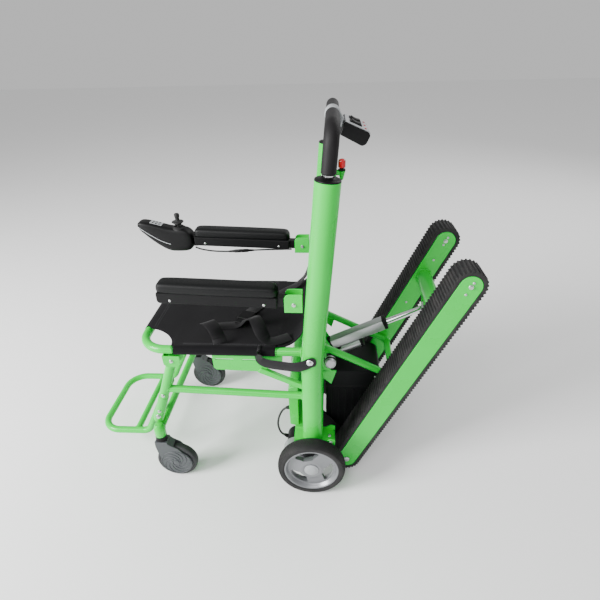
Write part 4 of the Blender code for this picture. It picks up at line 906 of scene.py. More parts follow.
def placing_tree():
    """Sets a copy of one shape on every point, standing out along 'out' and turned along 'along'."""
    tree = bpy.data.node_groups.new("set_on_points", "GeometryNodeTree")
    for socket, kind in (("Points", "Geometry"), ("Shape", "Object"), ("Finish", "Material")):
        tree.interface.new_socket(socket, in_out="INPUT", socket_type=f"NodeSocket{kind}")
    tree.interface.new_socket("Pieces", in_out="OUTPUT", socket_type="NodeSocketGeometry")
    start = add(tree, "NodeGroupInput").outputs
    out = add(tree, "GeometryNodeInputNamedAttribute", {"Name": "out"}, data_type="FLOAT_VECTOR")
    along = add(tree, "GeometryNodeInputNamedAttribute", {"Name": "along"}, data_type="FLOAT_VECTOR")
    turn = add(tree, "FunctionNodeAxesToRotation", {"Primary Axis": out.outputs["Attribute"],
               "Secondary Axis": along.outputs["Attribute"]}, primary_axis="Z", secondary_axis="X")
    shape = add(tree, "GeometryNodeObjectInfo", {"Object": start["Shape"]})
    copies = add(tree, "GeometryNodeInstanceOnPoints", {"Points": start["Points"],
                 "Instance": shape.outputs["Geometry"], "Rotation": turn.outputs["Rotation"]})
    real = add(tree, "GeometryNodeRealizeInstances", {"Geometry": copies.outputs["Instances"]})
    paint = add(tree, "GeometryNodeSetMaterial", {"Geometry": real.outputs["Geometry"],
                                                  "Material": start["Finish"]})
    end = add(tree, "NodeGroupOutput")
    tree.links.new(paint.outputs["Geometry"], end.inputs["Pieces"])
    return tree


placing = placing_tree()


def set_on(name, places, shapes, finish):
    """The mesh of one shape repeated at every (place, out, along)."""
    points = bpy.data.meshes.new(name)
    points.from_pydata([tuple(p[0]) for p in places], [], [])
    for key, column in (("out", 1), ("along", 2)):
        held = points.attributes.new(key, "FLOAT_VECTOR", "POINT")
        held.data.foreach_set("vector", [v for p in places for v in p[column]])
    shape = bpy.data.objects.new("shape", put_together("shape", shapes))
    holder = bpy.data.objects.new("holder", points)
    for made in (shape, holder):
        bpy.context.scene.collection.objects.link(made)
    spread = holder.modifiers.new("set_on_points", "NODES")
    spread.node_group = placing
    sockets = {item.name: item.identifier for item in placing.interface.items_tree if item.in_out == "INPUT"}
    spread[sockets["Shape"]] = shape
    spread[sockets["Finish"]] = finish
    done = bpy.data.meshes.new_from_object(holder.evaluated_get(bpy.context.evaluated_depsgraph_get()))
    for made in (holder, shape):
        bpy.data.objects.remove(made)
    done.name = name
    return done


def solid_block(length, width, height, taper=0.8, sink=0.0012):
    """A block that stands on its place, longest along X and narrower at the top."""
    points = []
    for z, share in ((-sink, 1.0), (0.0, 1.0), (height, taper)):
        points += [Vector((u * length / 2 * share, v * width / 2 * share, z))
                   for u, v in ((-1, -1), (1, -1), (1, 1), (-1, 1))]
    return points, ring_faces(3, 4) + [(0, 1, 2, 3), (8, 9, 10, 11)]


def painted_wheel():
    """Metallic silver paint on a casting: fine flake in the colour, softly satin."""
    made, tree, shader = finish_of("silver_wheel_paint", "#8B8D90", 0.36, 0.45, Coat_Weight=0.25,
                                   Coat_Roughness=0.15)
    place = add(tree, "ShaderNodeTexCoord").outputs["Object"]
    flake = add(tree, "ShaderNodeTexNoise", {"Vector": place, "Scale": 1500.0, "Detail": 1.0})
    two_tone(tree, shader, flake.outputs["Fac"], "#696B6E", "#88898C")
    return made


def worn_rubber(name, clean, dusty, roughness):
    """Moulded rubber: matt, with pale dust held in its pores in patches about 30 mm across."""
    made, tree, shader = finish_of(name, clean, roughness)
    place = add(tree, "ShaderNodeTexCoord").outputs["Object"]
    patches = add(tree, "ShaderNodeTexNoise", {"Vector": place, "Scale": 32.0, "Detail": 5.0})
    dust = add(tree, "ShaderNodeMapRange", {"Value": patches.outputs["Fac"], "From Min": 0.42,
                                            "From Max": 0.75})
    two_tone(tree, shader, dust.outputs["Result"], clean, dusty)
    pores = add(tree, "ShaderNodeTexNoise", {"Vector": place, "Scale": 900.0, "Detail": 2.0})
    relief(tree, shader, pores.outputs["Fac"], 0.25, 0.0004)
    return made


wheel_paint = painted_wheel()
tyre_black = worn_rubber("black_tyre_rubber", "#0B0B0C", "#211F1F", 0.72)
belt_black = worn_rubber("black_belt_rubber", "#0D0D0E", "#2A2727", 0.78)
for side, sign in SIDES:
    middle = spot(0.254 * sign, 0, HUB_Z)
    rim_profile = [(0.0188, 0.0808), (0.0197, 0.0796), (0.0197, 0.0772), (0.0186, 0.0756), (0.0120, 0.0728),
                   (0.0085, 0.0700), (0.0082, 0.0672), (0.0104, 0.0520), (0.0122, 0.0380), (0.0150, 0.0320),
                   (0.0158, 0.0290), (0.0158, 0.0250), (0.0150, 0.0225), (0.0150, 0.0086), (-0.0195, 0.0086),
                   (-0.0195, 0.0240), (-0.0185, 0.0260), (-0.0030, 0.0340), (-0.0030, 0.0690),
                   (-0.0175, 0.0735), (-0.0187, 0.0760), (-0.0187, 0.0808)]
    rim_mesh = put_together("rim", [turned([(a * sign, r) for a, r in rim_profile], (1, 0, 0), middle, 96)])
    windows = []
    for spoke in range(3):
        centre = 105 + 120 * spoke
        outline = (sweep_arc(0, HUB_Z, 0.0645, centre - 29, centre + 29, 14)
                   + sweep_arc(0.0595 * math.cos(math.radians(centre + 31)),
                               HUB_Z + 0.0595 * math.sin(math.radians(centre + 31)), 0.0050, centre + 30,
                               centre + 125, 6)
                   + sweep_arc(0.0435 * math.cos(math.radians(centre + 17)),
                               HUB_Z + 0.0435 * math.sin(math.radians(centre + 17)), 0.0060, centre + 112,
                               centre + 190, 5)
                   + sweep_arc(0.0435 * math.cos(math.radians(centre - 17)),
                               HUB_Z + 0.0435 * math.sin(math.radians(centre - 17)), 0.0060, centre + 170,
                               centre + 248, 5)
                   + sweep_arc(0.0595 * math.cos(math.radians(centre - 31)),
                               HUB_Z + 0.0595 * math.sin(math.radians(centre - 31)), 0.0050, centre - 125,
                               centre - 30, 6))
        windows.append(plate_x(outline, 0.234 * sign, 0.274 * sign))
    fit(f"wheel_casting_{side}", carved(rim_mesh, windows), wheel_paint, f"rear_wheel_{side}",
        [f"rear_rim_{side}"], bevel=0.0012)
    dome = [(0.0148, 0.0), (0.0148, 0.0205), (0.0163, 0.0212), (0.0172, 0.0205), (0.0172, 0.0178),
            (0.0182, 0.0165), (0.0194, 0.0120), (0.0200, 0.0060), (0.0201, 0.0)]
    make(f"hub_cap_{side}", [turned([(a * sign, r) for a, r in dome], (1, 0, 0), middle, 56)], grey_nylon,
         f"rear_wheel_{side}")

    crown = [(0.022 * math.sin(math.radians(a)), 0.0813 + 0.019 * math.cos(math.radians(a)) ** 0.5)
             for a in (-78, -70, -60, -48, -35, -20, -8, 0, 8, 20, 35, 48, 60, 70, 78)]
    tyre_ring = crown + [(0.0212, 0.0838), (0.0200, 0.0812), (-0.0200, 0.0812), (-0.0212, 0.0838)]
    tyre_mesh = [turned(tyre_ring, (1, 0, 0), middle, 128)]
    make(f"tyre_body_{side}", tyre_mesh, tyre_black, f"rear_wheel_{side}", [f"rear_tyre_{side}"])
    places = []
    for row, angle in enumerate((-62, -49, -36, -22, -7, 7, 22, 36, 49, 62)):
        lean_out = math.radians(angle)
        reach = 0.0813 + 0.019 * math.cos(lean_out) ** 0.5
        for i in range(92):
            turn = 2 * math.pi * (i + 0.5 * (row % 2)) / 92
            radial = Vector((0, math.cos(turn), math.sin(turn)))
            slope = math.radians(angle * 0.55)
            out = radial * math.cos(slope) + Vector((math.sin(slope), 0, 0))
            places.append((middle + Vector((0.022 * math.sin(lean_out), 0, 0)) + radial * reach,
                           out.normalized(), radial.cross(Vector((1, 0, 0)))))
    tread = set_on("tread", places, [solid_block(0.0048, 0.0036, 0.00105, 0.84)], tyre_black)
    fit(f"tyre_tread_{side}", tread, tyre_black, f"rear_wheel_{side}")

# ------------------------------------------------------------------ castors
# Grey nylon castors: a hood over the wheel, a cheek on each side with curved ribs round its hub, and a thin
# dark tyre on a grey wheel.
CASTOR_R = 0.0635
castor_tread = worn_rubber("grey_castor_rubber", "#1E2021", "#333536", 0.66)
castor_grey = grained("castor_grey_nylon", "#303436", "#44484B", 0.44, 0.0012, 0.15)
for side, sign in SIDES:
    stem = spot(0.212 * sign, -0.464, 0)
    hub = spot(0.212 * sign, -0.427, CASTOR_R)
    hub_y, stem_y = -0.427, -0.464
    hood = sweep_arc(hub_y, CASTOR_R, 0.0500, -150, 60, 30)
    hood += [(hub_y + 0.0120, 0.1240), (stem_y + 0.0270, 0.1370), (stem_y + 0.0200, 0.1440),
             (stem_y + 0.0185, 0.1505), (stem_y - 0.0185, 0.1505), (stem_y - 0.0190, 0.1300),
             (stem_y - 0.0150, 0.1050), (stem_y - 0.0100, 0.0850)]
    half_fork = put_together("fork", [plate_x(hood, hub.x - 0.0168, hub.x + 0.0168)])
    wheel_room = turned([(-0.0129, 0.0), (-0.0129, 0.0680), (0.0129, 0.0680), (0.0129, 0.0)], (1, 0, 0), hub,
                        72)
    fit(f"castor_hood_{side}", carved(half_fork, [wheel_room]), castor_grey, f"castor_{side}",
        [f"castor_fork_{side}"], bevel=0.0016)
    swirls = []
    for face in (-1, 1):
        face_x = hub.x + face * 0.0168
        for arm in range(9):
            spiral = []
            for i in range(15):
                t = i / 14
                turn = math.radians(40 * arm + 95 * t * face)
                radius = 0.0140 + 0.0320 * t
                spiral.append(Vector((face_x, hub.y + radius * math.cos(turn),
                                      hub.z + radius * math.sin(turn))))
            swirls.append(bar(spiral, 0.0014, 12, (1, 0, 0)))
        for radius in (0.0130, 0.0472):
            swirls.append(bead(ring_at(Vector((face_x, hub.y, hub.z)), (1, 0, 0), radius, 72), 0.0014))
        cover = [(0.0160, 0.0), (0.0160, 0.0105), (0.0182, 0.0098), (0.0188, 0.0080), (0.0188, 0.0)]
        swirls.append(turned([(a * face, r) for a, r in cover], (1, 0, 0), hub, 40))
    make(f"castor_ribs_{side}", swirls, castor_grey, f"castor_{side}")
    stem_profile = [(0.1450, 0.0), (0.1450, 0.0072), (0.1820, 0.0072), (0.1820, 0.0)]
    collar_profile = [(0.1495, 0.0070), (0.1495, 0.0130), (0.1515, 0.0130), (0.1515, 0.0070)]
    make(f"castor_stem_{side}", [turned(stem_profile, (0, 0, 1), stem, 32),
                                 turned(collar_profile, (0, 0, 1), stem, 32)], cast_alloy, f"castor_{side}")
    core = [(-0.0115, 0.0050), (-0.0115, 0.0180), (-0.0060, 0.0200), (-0.0060, 0.0440), (-0.0110, 0.0480),
            (-0.0110, 0.0520), (0.0110, 0.0520), (0.0110, 0.0480), (0.0060, 0.0440), (0.0060, 0.0200),
            (0.0115, 0.0180), (0.0115, 0.0050)]
    make(f"castor_core_{side}", [turned(core, (1, 0, 0), hub, 72)], castor_grey, f"castor_wheel_{side}")
    tread_ring = [(-0.0118, 0.0515), (-0.0120, 0.0560), (-0.0108, 0.0600), (-0.0080, 0.0625),
                  (-0.0040, CASTOR_R), (0.0040, CASTOR_R), (0.0080, 0.0625), (0.0108, 0.0600),
                  (0.0120, 0.0560), (0.0118, 0.0515)]
    make(f"castor_tyre_{side}", [turned(tread_ring, (1, 0, 0), hub, 96)], castor_tread, f"castor_wheel_{side}",
         [f"castor_wheel_{side}"])

# ------------------------------------------------------------------ climbing tracks
# Each track is two green side plates with webs between them, a drum at each end and a ribbed rubber belt. A
# tube joins the pair, and the actuator pushes on its two ears.
track_foot, track_head = spot(0, 0.107, 0.050), spot(0, 0.392, 0.676)
track_up = (track_head - track_foot).normalized()
track_out = Vector((0, -track_up.z, track_up.y))
track_length = (track_head - track_foot).length


def on_track(up, out, x=0.0):
    """A place on a track, measured up it from the lower axle and out towards its front."""
    return beside(x, track_foot + track_up * up + track_out * out)


def track_loop(radius, turns=22, straight=1):
    """The loop round both drums at a distance from their centres, as (place, outward) pairs."""
    pairs = []
    for i in range(turns + 1):
        turn = math.pi * i / turns
        out = track_out * math.cos(turn) + track_up * math.sin(turn)
        pairs.append((track_head + out * radius, out))
    for i in range(1, straight):
        pairs.append((track_head.lerp(track_foot, i / straight) - track_out * radius, -track_out))
    for i in range(turns + 1):
        turn = math.pi * i / turns
        out = -track_out * math.cos(turn) - track_up * math.sin(turn)
        pairs.append((track_foot + out * radius, out))
    for i in range(1, straight):
        pairs.append((track_foot.lerp(track_head, i / straight) + track_out * radius, track_out))
    return pairs


def track_plate(radius, low, high):
    outline = [p for p, _ in track_loop(radius)]
    points = [beside(x, p) for x in (low, high) for p in outline]
    count = len(outline)
    return points, ring_faces(2, count) + [tuple(range(count)), tuple(range(count, 2 * count))]


def track_slab(up0, up1, out0, out1, low, high):
    corners = [on_track(a, b) for a, b in ((up0, out0), (up1, out0), (up1, out1), (up0, out1))]
    points = [beside(x, p) for x in (low, high) for p in corners]
    return points, ring_faces(2, 4) + [(0, 1, 2, 3), (4, 5, 6, 7)]


BELT_RIBS = 162
BELT_R = 0.0398
for side, sign in SIDES:
    inner, outer = 0.106 * sign, 0.181 * sign
    low, high = sorted((inner, outer))
    plates = []
    for edge in (inner, outer):
        face = sorted((edge, edge + (0.003 if edge == low else -0.003)))
        plates.append(track_plate(0.0290, *face))
    bores = [turned([(low - 0.01, 0.0), (low - 0.01, 0.0106), (high + 0.01, 0.0106), (high + 0.01, 0.0)],
                    (1, 0, 0), beside(0, track_foot), 40)]
    plate_mesh = carved(put_together("plates", plates), bores)
    fit(f"track_plates_{side}", plate_mesh, powder, "tracks", [f"track_frame_{side}"],
        bevel=0.0009)
    webs = [track_slab(0.045, track_length - 0.045, 0.0252, 0.0288, low + 0.002, high - 0.002),
            track_slab(0.045, track_length - 0.045, -0.0288, -0.0252, low + 0.002, high - 0.002)]
    make(f"track_webs_{side}", webs, powder, "tracks")
    head_pin = turned([(low + 0.001, 0.0), (low + 0.001, 0.006), (high - 0.001, 0.006), (high - 0.001, 0.0)],
                      (1, 0, 0), beside(0, track_head), 28)
    make(f"head_pin_{side}", [head_pin], cast_alloy, "tracks")

    section = [(low + 0.0012, 0.0302), (high - 0.0012, 0.0302), (high - 0.0002, 0.0312),
               (high - 0.0002, 0.0388), (high - 0.0012, BELT_R), (low + 0.0012, BELT_R),
               (low + 0.0002, 0.0388), (low + 0.0002, 0.0312)]
    spine = track_loop(0.0, 22, 60)
    belt_points = [beside(x, p) + out * r for p, out in spine for x, r in section]
    make(f"belt_band_{side}", [(belt_points, ring_faces(len(spine), len(section), closed=True))], belt_black,
         "tracks", [f"track_belt_{side}"])
    straight, curve = track_length, math.pi * BELT_R
    whole = 2 * (straight + curve)
    places = []
    for i in range(BELT_RIBS):
        run = whole * i / BELT_RIBS
        if run < straight:
            centre, out = track_foot + track_up * run, track_out
        elif run < straight + curve:
            turn = math.pi * (run - straight) / curve
            centre, out = track_head, track_out * math.cos(turn) + track_up * math.sin(turn)
        elif run < 2 * straight + curve:
            centre, out = track_head - track_up * (run - straight - curve), -track_out
        else:
            turn = math.pi * (run - 2 * straight - curve) / curve
            centre, out = track_foot, -track_out * math.cos(turn) - track_up * math.sin(turn)
        places.append((beside(0.1435 * sign, centre + out * BELT_R), out, Vector((1, 0, 0))))
    profile = [(-0.0034, -0.0020), (-0.0031, 0.0006), (-0.0022, 0.0026), (-0.0015, 0.0031), (0.0006, 0.0031),
               (0.0014, 0.0026), (0.0032, 0.0006), (0.0035, -0.0020)]
    ends = (-0.0372, -0.0364, 0.0364, 0.0372)
    squeeze = (0.82, 1.0, 1.0, 0.82)
    rib_points = [Vector((x, v * k, w if w < 0 else w * k)) for x, k in zip(ends, squeeze) for v, w in profile]
    rib = (rib_points, ring_faces(4, 8) + [tuple(range(8)), tuple(range(24, 32))])
    fit(f"belt_ribs_{side}", set_on("ribs", places, [rib], belt_black), belt_black, "tracks")

    drum = [(low + 0.0045, 0.0067), (low + 0.0045, 0.0250), (low + 0.0060, 0.0292), (high - 0.0060, 0.0292),
            (high - 0.0045, 0.0250), (high - 0.0045, 0.0067)]
    make(f"idler_drum_{side}", [turned(drum, (1, 0, 0), beside(0, track_head), 64)], grey_nylon,
         f"idler_{side}", [f"idler_{side}"])
axle_profile = [(-0.1830, 0.0), (-0.1830, 0.0085), (-0.1820, 0.0098)]
for low, high in ((-0.1770, -0.1100), (0.1100, 0.1770)):
    axle_profile += [(low, 0.0098), (low, 0.0240), (low + 0.002, 0.0292), (high - 0.002, 0.0292),
                     (high, 0.0240), (high, 0.0098)]
axle_profile += [(0.1820, 0.0098), (0.1830, 0.0085), (0.1830, 0.0)]
make("drive_shaft", [turned(axle_profile, (1, 0, 0), beside(0, track_foot), 64)], cast_alloy, "drive_axle",
     ["drive_axle"])

cross = on_track(0.5604, 0.0)
rod_pin = spot(0, 0.337, 0.513)
cross_y, cross_z = cross.y - axle_y, cross.z
cross_parts = [bar([beside(0.1058, cross), beside(-0.1058, cross)], 0.0230, 56, (0, 0, 1))]
for _, sign in SIDES:
    cross_parts.append(bead(ring_at(beside(0.1045 * sign, cross), (1, 0, 0), 0.0236, 60), 0.0024))
    ear = ([(cross_y - 0.0205, cross_z), (cross_y + 0.0205, cross_z)]
           + sweep_arc(0.337, 0.513, 0.0140, 10, -170, 12))
    cross_parts.append(plate_x(ear, 0.0150 * sign, 0.0195 * sign))
cross_parts.append(bar([beside(-0.0215, rod_pin), beside(0.0215, rod_pin)], 0.0034, 28))
make("cross_tube_and_ears", cross_parts, powder, "tracks", ["track_cross_tube"], bevel=0.0006)

# ------------------------------------------------------------------ actuator
# A square extruded barrel with cast ends, its motor slung beneath, and a chromed rod that pushes the tracks.
act_foot = spot(0, 0.035, 0.364)
act_dir = (rod_pin - act_foot).normalized()
act_under = Vector((0, act_dir.z, -act_dir.y))


def along_act(distance, under=0.0, x=0.0):
    return beside(x, act_foot + act_dir * distance + act_under * under)


anodised = grained("silver_anodised_tube", "#A9ABAC", "#BBBDBE", 0.33, 0.0030, 0.05, Metallic=0.8)
square = []
for cx, cy in ((1, 1), (-1, 1), (-1, -1), (1, -1)):
    for i in range(5):
        turn = math.atan2(cy, cx) - math.pi / 4 + math.pi / 2 * i / 4
        square.append((cx * 0.0130 + 0.0035 * math.cos(turn), cy * 0.0130 + 0.0035 * math.sin(turn)))
make("actuator_barrel", [swept([along_act(0.026), along_act(0.198)], square)], anodised, "actuator",
     ["actuator_body"])
ends = [swept([along_act(a), along_act(b)], [(u * k, v * k) for u, v in square])
        for a, b, k in ((0.0140, 0.0262, 1.0), (0.1978, 0.2080, 1.0))]
ends.append(turned([(-0.0150, 0.0053), (-0.0150, 0.0092), (-0.0142, 0.0100), (0.0142, 0.0100), (0.0150, 0.0092),
                    (0.0150, 0.0053)], (1, 0, 0), act_foot, 40))
ends.append(swept([along_act(0.0070), along_act(0.0160)], [(u * 0.8, v * 0.5) for u, v in square]))
make("actuator_ends", ends, moulded_abs, "actuator", bevel=0.0010)
wiper = [(0.2075, 0.0095), (0.2075, 0.0128), (0.2100, 0.0122), (0.2105, 0.0095)]
make("rod_wiper", [turned(wiper, act_dir, act_foot, 40)], hole_black, "actuator")
can = [(0.0300, 0.0), (0.0300, 0.0150), (0.0315, 0.0168), (0.0500, 0.0168), (0.0502, 0.0160), (0.0520, 0.0160),
       (0.0522, 0.0168), (0.1080, 0.0168), (0.1085, 0.0160), (0.1085, 0.0)]
end_cap = [(0.1080, 0.0), (0.1080, 0.0170), (0.1140, 0.0170), (0.1165, 0.0150), (0.1172, 0.0060), (0.1172, 0.0)]
make("motor_end_cap", [turned(end_cap, act_dir, act_foot + act_under * 0.0330, 48)], moulded_abs, "actuator")
make("actuator_motor", [turned(can, act_dir, act_foot + act_under * 0.0330, 56)], anodised, "actuator")
make("motor_saddle", [swept([along_act(0.0300, 0.0165), along_act(0.0460, 0.0165)],
                            [(u * 0.92, v * 0.6) for u, v in square])], moulded_abs, "actuator", bevel=0.0008)
reach = (rod_pin - act_foot).length
rod_profile = [(0.1700, 0.0), (0.1700, 0.0089), (reach - 0.0180, 0.0089), (reach - 0.0165, 0.0078),
               (reach - 0.0110, 0.0078), (reach - 0.0110, 0.0)]
make("actuator_rod_bar", [turned(rod_profile, act_dir, act_foot, 44)], chrome, "actuator_rod", ["actuator_rod"])
eye = [(-0.0120, 0.0095), (-0.0120, 0.0145), (-0.0110, 0.0155), (0.0110, 0.0155), (0.0120, 0.0145),
       (0.0120, 0.0095)]
make("rod_eye", [turned(eye, (1, 0, 0), rod_pin, 48)], cast_alloy, "actuator_rod")

# ------------------------------------------------------------------ seat and back slings
# Woven nylon, stretched over the seat tube and wrapped under it at the sides and front. The back sling hangs
# between the posts on screwed edge strips, with three webbing bands behind it. Both sag a little.
WRAP_R = RAIL_R + 0.0008


def ease(t):
    t = min(max(t, 0.0), 1.0)
    return t * t * (3 - 2 * t)


def grid_faces(rows, columns):
    return [(r * columns + c, r * columns + c + 1, (r + 1) * columns + c + 1, (r + 1) * columns + c)
            for r in range(rows - 1) for c in range(columns - 1)]


def slack(u, v, seed):
    """Soft unevenness of a hand-made cloth part, in metres."""
    return 0.0011 * noise.noise(Vector((3.1 * u, 2.3 * v, seed)))


def seat_row(run):
    """The (y, z, half width) of the seat cloth at a share of its length, front to back."""
    if run < 0.07:
        turn = math.radians(228 - 138 * run / 0.07)
        return -0.480 + WRAP_R * math.cos(turn), SEAT_Z + WRAP_R * math.sin(turn), 0.0980
    t = (run - 0.07) / 0.93
    if t < 0.84:
        y = -0.480 + 0.392 * t / 0.84
        if y < -0.4664:
            half = 0.0980 + 0.0105 * ease((y + 0.480) / 0.0136)
        elif y < -0.3860:
            half = 0.206 - math.sqrt(0.098 ** 2 - (y + 0.480) ** 2)
        else:
            half = 0.1900 + 0.0470 * ease((y + 0.3870) / 0.012) * (1 - ease((y + 0.1000) / 0.0115))
        return y, SEAT_Z + WRAP_R, half
    t = (t - 0.84) / 0.16
    y = -0.088 + 0.0705 * (1 - (1 - t) ** 1.7)
    return y, SEAT_Z + WRAP_R + 0.060 * t ** 2.0, 0.1900 - 0.0260 * ease(t * 1.2)


def seat_point(across, run):
    """A point of the seat cloth. The cloth goes round the tube where it is wider than the frame."""
    y, z, half = seat_row(run)
    reach = abs(across) * half
    inside = min(reach, SEAT_X) / SEAT_X
    hollow = ease((run - 0.07) / 0.28) * (1 - ease((run - 0.80) / 0.20))
    drop = 0.0085 * (1 - inside ** 2) * hollow - slack(across, run * 3, 1.0) * hollow * (1 - inside ** 6)
    side = math.copysign(1.0, across)
    if reach <= SEAT_X:
        return spot(side * reach, y, z - drop)
    turn = (reach - SEAT_X) / WRAP_R
    return spot(side * (SEAT_X + WRAP_R * math.sin(turn)), y, SEAT_Z + WRAP_R * math.cos(turn))


def cloth_area(mesh):
    return sum(face.area for face in mesh.polygons)


def woven_nylon(name, dark, light, sheen):
    """Black nylon duck: plain weave at 0.9 mm, a soft sheen, and grey on the raised threads in cloudy patches,
    partly dust and partly a painted highlight on the thread tops.
    """
    made, tree, shader = finish_of(name, dark, 0.78, Sheen_Weight=sheen, Sheen_Roughness=0.45,
                                   Specular_IOR_Level=0.1)
    place = add(tree, "ShaderNodeTexCoord").outputs["UV"]
    scaled = add(tree, "ShaderNodeMapping", {"Vector": place, "Scale": (1110.0, 1110.0, 1.0)})
    parts = add(tree, "ShaderNodeSeparateXYZ", {"Vector": scaled.outputs["Vector"]}).outputs
    threads = []
    for axis in ("X", "Y"):
        wave = add(tree, "ShaderNodeMath", {0: parts[axis], 1: math.pi}, operation="MULTIPLY")
        threads.append(add(tree, "ShaderNodeMath", {0: wave.outputs[0]}, operation="SINE").outputs[0])
    weave = add(tree, "ShaderNodeMath", {0: threads[0], 1: threads[1]}, operation="MULTIPLY").outputs[0]
    high = add(tree, "ShaderNodeMapRange", {"Value": weave, "From Min": -1.0, "From Max": 1.0})
    cloud = add(tree, "ShaderNodeTexNoise", {"Vector": place, "Scale": 16.0, "Detail": 4.0})
    # Partly dust, partly painted highlight: the raised threads are coloured lighter, in cloudy patches.
    threads_dust_and_highlight = add(tree, "ShaderNodeMath", {0: high.outputs["Result"], 1: cloud.outputs["Fac"]},
                operation="MULTIPLY")
    two_tone(tree, shader, threads_dust_and_highlight.outputs[0], dark, light)
    relief(tree, shader, high.outputs["Result"], 0.35, 0.0003)
    return made


def cloth(name, rows, columns, place, width, length, finish, replaces, thick=0.0014):
    """A sheet whose points come from place(across, run), with its cut size as its UV map in metres."""
    across = [2 * c / (columns - 1) - 1 for c in range(columns)]
    runs = [r / (rows - 1) for r in range(rows)]
    mesh = bpy.data.meshes.new(name)
    mesh.from_pydata([place(u, v) for v in runs for u in across], [], grid_faces(rows, columns))
    flat = mesh.uv_layers.new(name="cut")
    for loop in mesh.loops:
        r, c = divmod(loop.vertex_index, columns)
        flat.data[loop.index].uv = (across[c] * width / 2, runs[r] * length)
    area = cloth_area(mesh)
    made = fit(name, mesh, finish, "frame", replaces)
    skin = made.modifiers.new("cloth_thickness", "SOLIDIFY")
    skin.thickness = thick
    skin.offset = 0.0
    return made, area


SEAT_CUT = 0.474
duck = woven_nylon("black_nylon_duck", "#070608", "#131216", 0.06)
seat_length = sum((seat_point(0.0, (i + 1) / 200) - seat_point(0.0, i / 200)).length for i in range(200))
seat_cloth, seat_area = cloth("seat_cloth", 150, 121, seat_point, SEAT_CUT, seat_length, duck, ["seat_sling"])

back_low, back_high = 0.512, 0.897
BACK_CUT = 0.336


def back_point(across, run):
    """A point of the back cloth, which bows back in the middle between its two edge strips."""
    height = back_low + (back_high - back_low) * run
    middle = post_middle(height)
    bow = 0.0110 * (1 - across ** 2) * math.sin(math.pi * min(max(run, 0.04), 0.97)) ** 0.6
    return Vector((0.1655 * across, middle.y - 0.012 + bow + slack(across * 2, run * 2, 2.3), height))


back_length = (back_point(0, 1) - back_point(0, 0)).length + 0.002
back_cloth, back_area = cloth("back_cloth", 90, 91, back_point, BACK_CUT, back_length, duck, ["back_sling"])


def woven_webbing():
    """Polyester webbing: ribs across it every 1.6 mm, with a painted highlight in the colour where the ribs
    catch the light.
    """
    made, tree, shader = finish_of("black_polyester_webbing", "#0C0B0E", 0.55, Sheen_Weight=0.04,
                                   Specular_IOR_Level=0.25)
    place = add(tree, "ShaderNodeTexCoord").outputs["UV"]
    ribs = add(tree, "ShaderNodeTexWave", {"Vector": place, "Scale": 98.0, "Distortion": 0.3},
               bands_direction="Y")
    twill = add(tree, "ShaderNodeTexWave", {"Vector": place, "Scale": 160.0}, bands_direction="DIAGONAL")
    both = add(tree, "ShaderNodeMath", {0: ribs.outputs["Fac"], 1: twill.outputs["Fac"]}, operation="MULTIPLY")
    # Painted highlight: the raised ribs and twill are coloured lighter, as if they caught the light.
    two_tone(tree, shader, both.outputs[0], "#070608", "#171519")
    relief(tree, shader, both.outputs[0], 0.5, 0.0003)
    return made


webbing = woven_webbing()


def ribbon(line, width, thick, sideways=None, round_end=0.0):
    """Flat webbing along a line: its width stays level, or follows a given direction."""
    line = [Vector(p) for p in line]
    half, skin = width / 2, thick / 2
    section = [(-half, -skin * 0.3), (-half + skin, -skin), (half - skin, -skin), (half, -skin * 0.3),
               (half, skin * 0.3), (half - skin, skin), (-half + skin, skin), (-half, skin * 0.3)]
    points = []
    for i, p in enumerate(line):
        along = (line[min(i + 1, len(line) - 1)] - line[max(i - 1, 0)]).normalized()
        flat = sideways[i] if sideways else along.cross(Vector((0, 0, 1)))
        flat = (flat - along * flat.dot(along)).normalized()
        up = flat.cross(along)
        tail = min((line[-1] - p).length / round_end, 1) if round_end else 1
        slim = math.sqrt(max(1 - (1 - tail) ** 2, 0.03))
        points += [p + flat * u * slim + up * v for u, v in section]
    faces = ring_faces(len(line), 8) + [tuple(range(8)), tuple(range(len(points) - 8, len(points)))]
    return points, faces


def webbing_mesh(name, lines, width, thick, sideways=None, round_end=0.0):
    """Webbing whose UV map runs along it, in metres."""
    mesh = bpy.data.meshes.new(name)
    points, faces, maps = [], [], []
    for k, line in enumerate(lines):
        part, part_faces = ribbon(line, width, thick, sideways[k] if sideways else None, round_end)
        faces += [tuple(i + len(points) for i in f) for f in part_faces]
        points += part
        run = 0.0
        for i, p in enumerate(line):
            run += (Vector(p) - Vector(line[i - 1])).length if i else 0.0
            maps += [(u * width, run) for u in (-0.5, -0.48, 0.48, 0.5, 0.5, 0.48, -0.48, -0.5)]
    mesh.from_pydata(points, [], faces)
    mesh.validate()
    flat = mesh.uv_layers.new(name="cut")
    for loop in mesh.loops:
        flat.data[loop.index].uv = maps[loop.vertex_index]
    bm = bmesh.new()
    bm.from_mesh(mesh)
    bmesh.ops.recalc_face_normals(bm, faces=bm.faces)
    bm.to_mesh(mesh)
    bm.free()
    return mesh


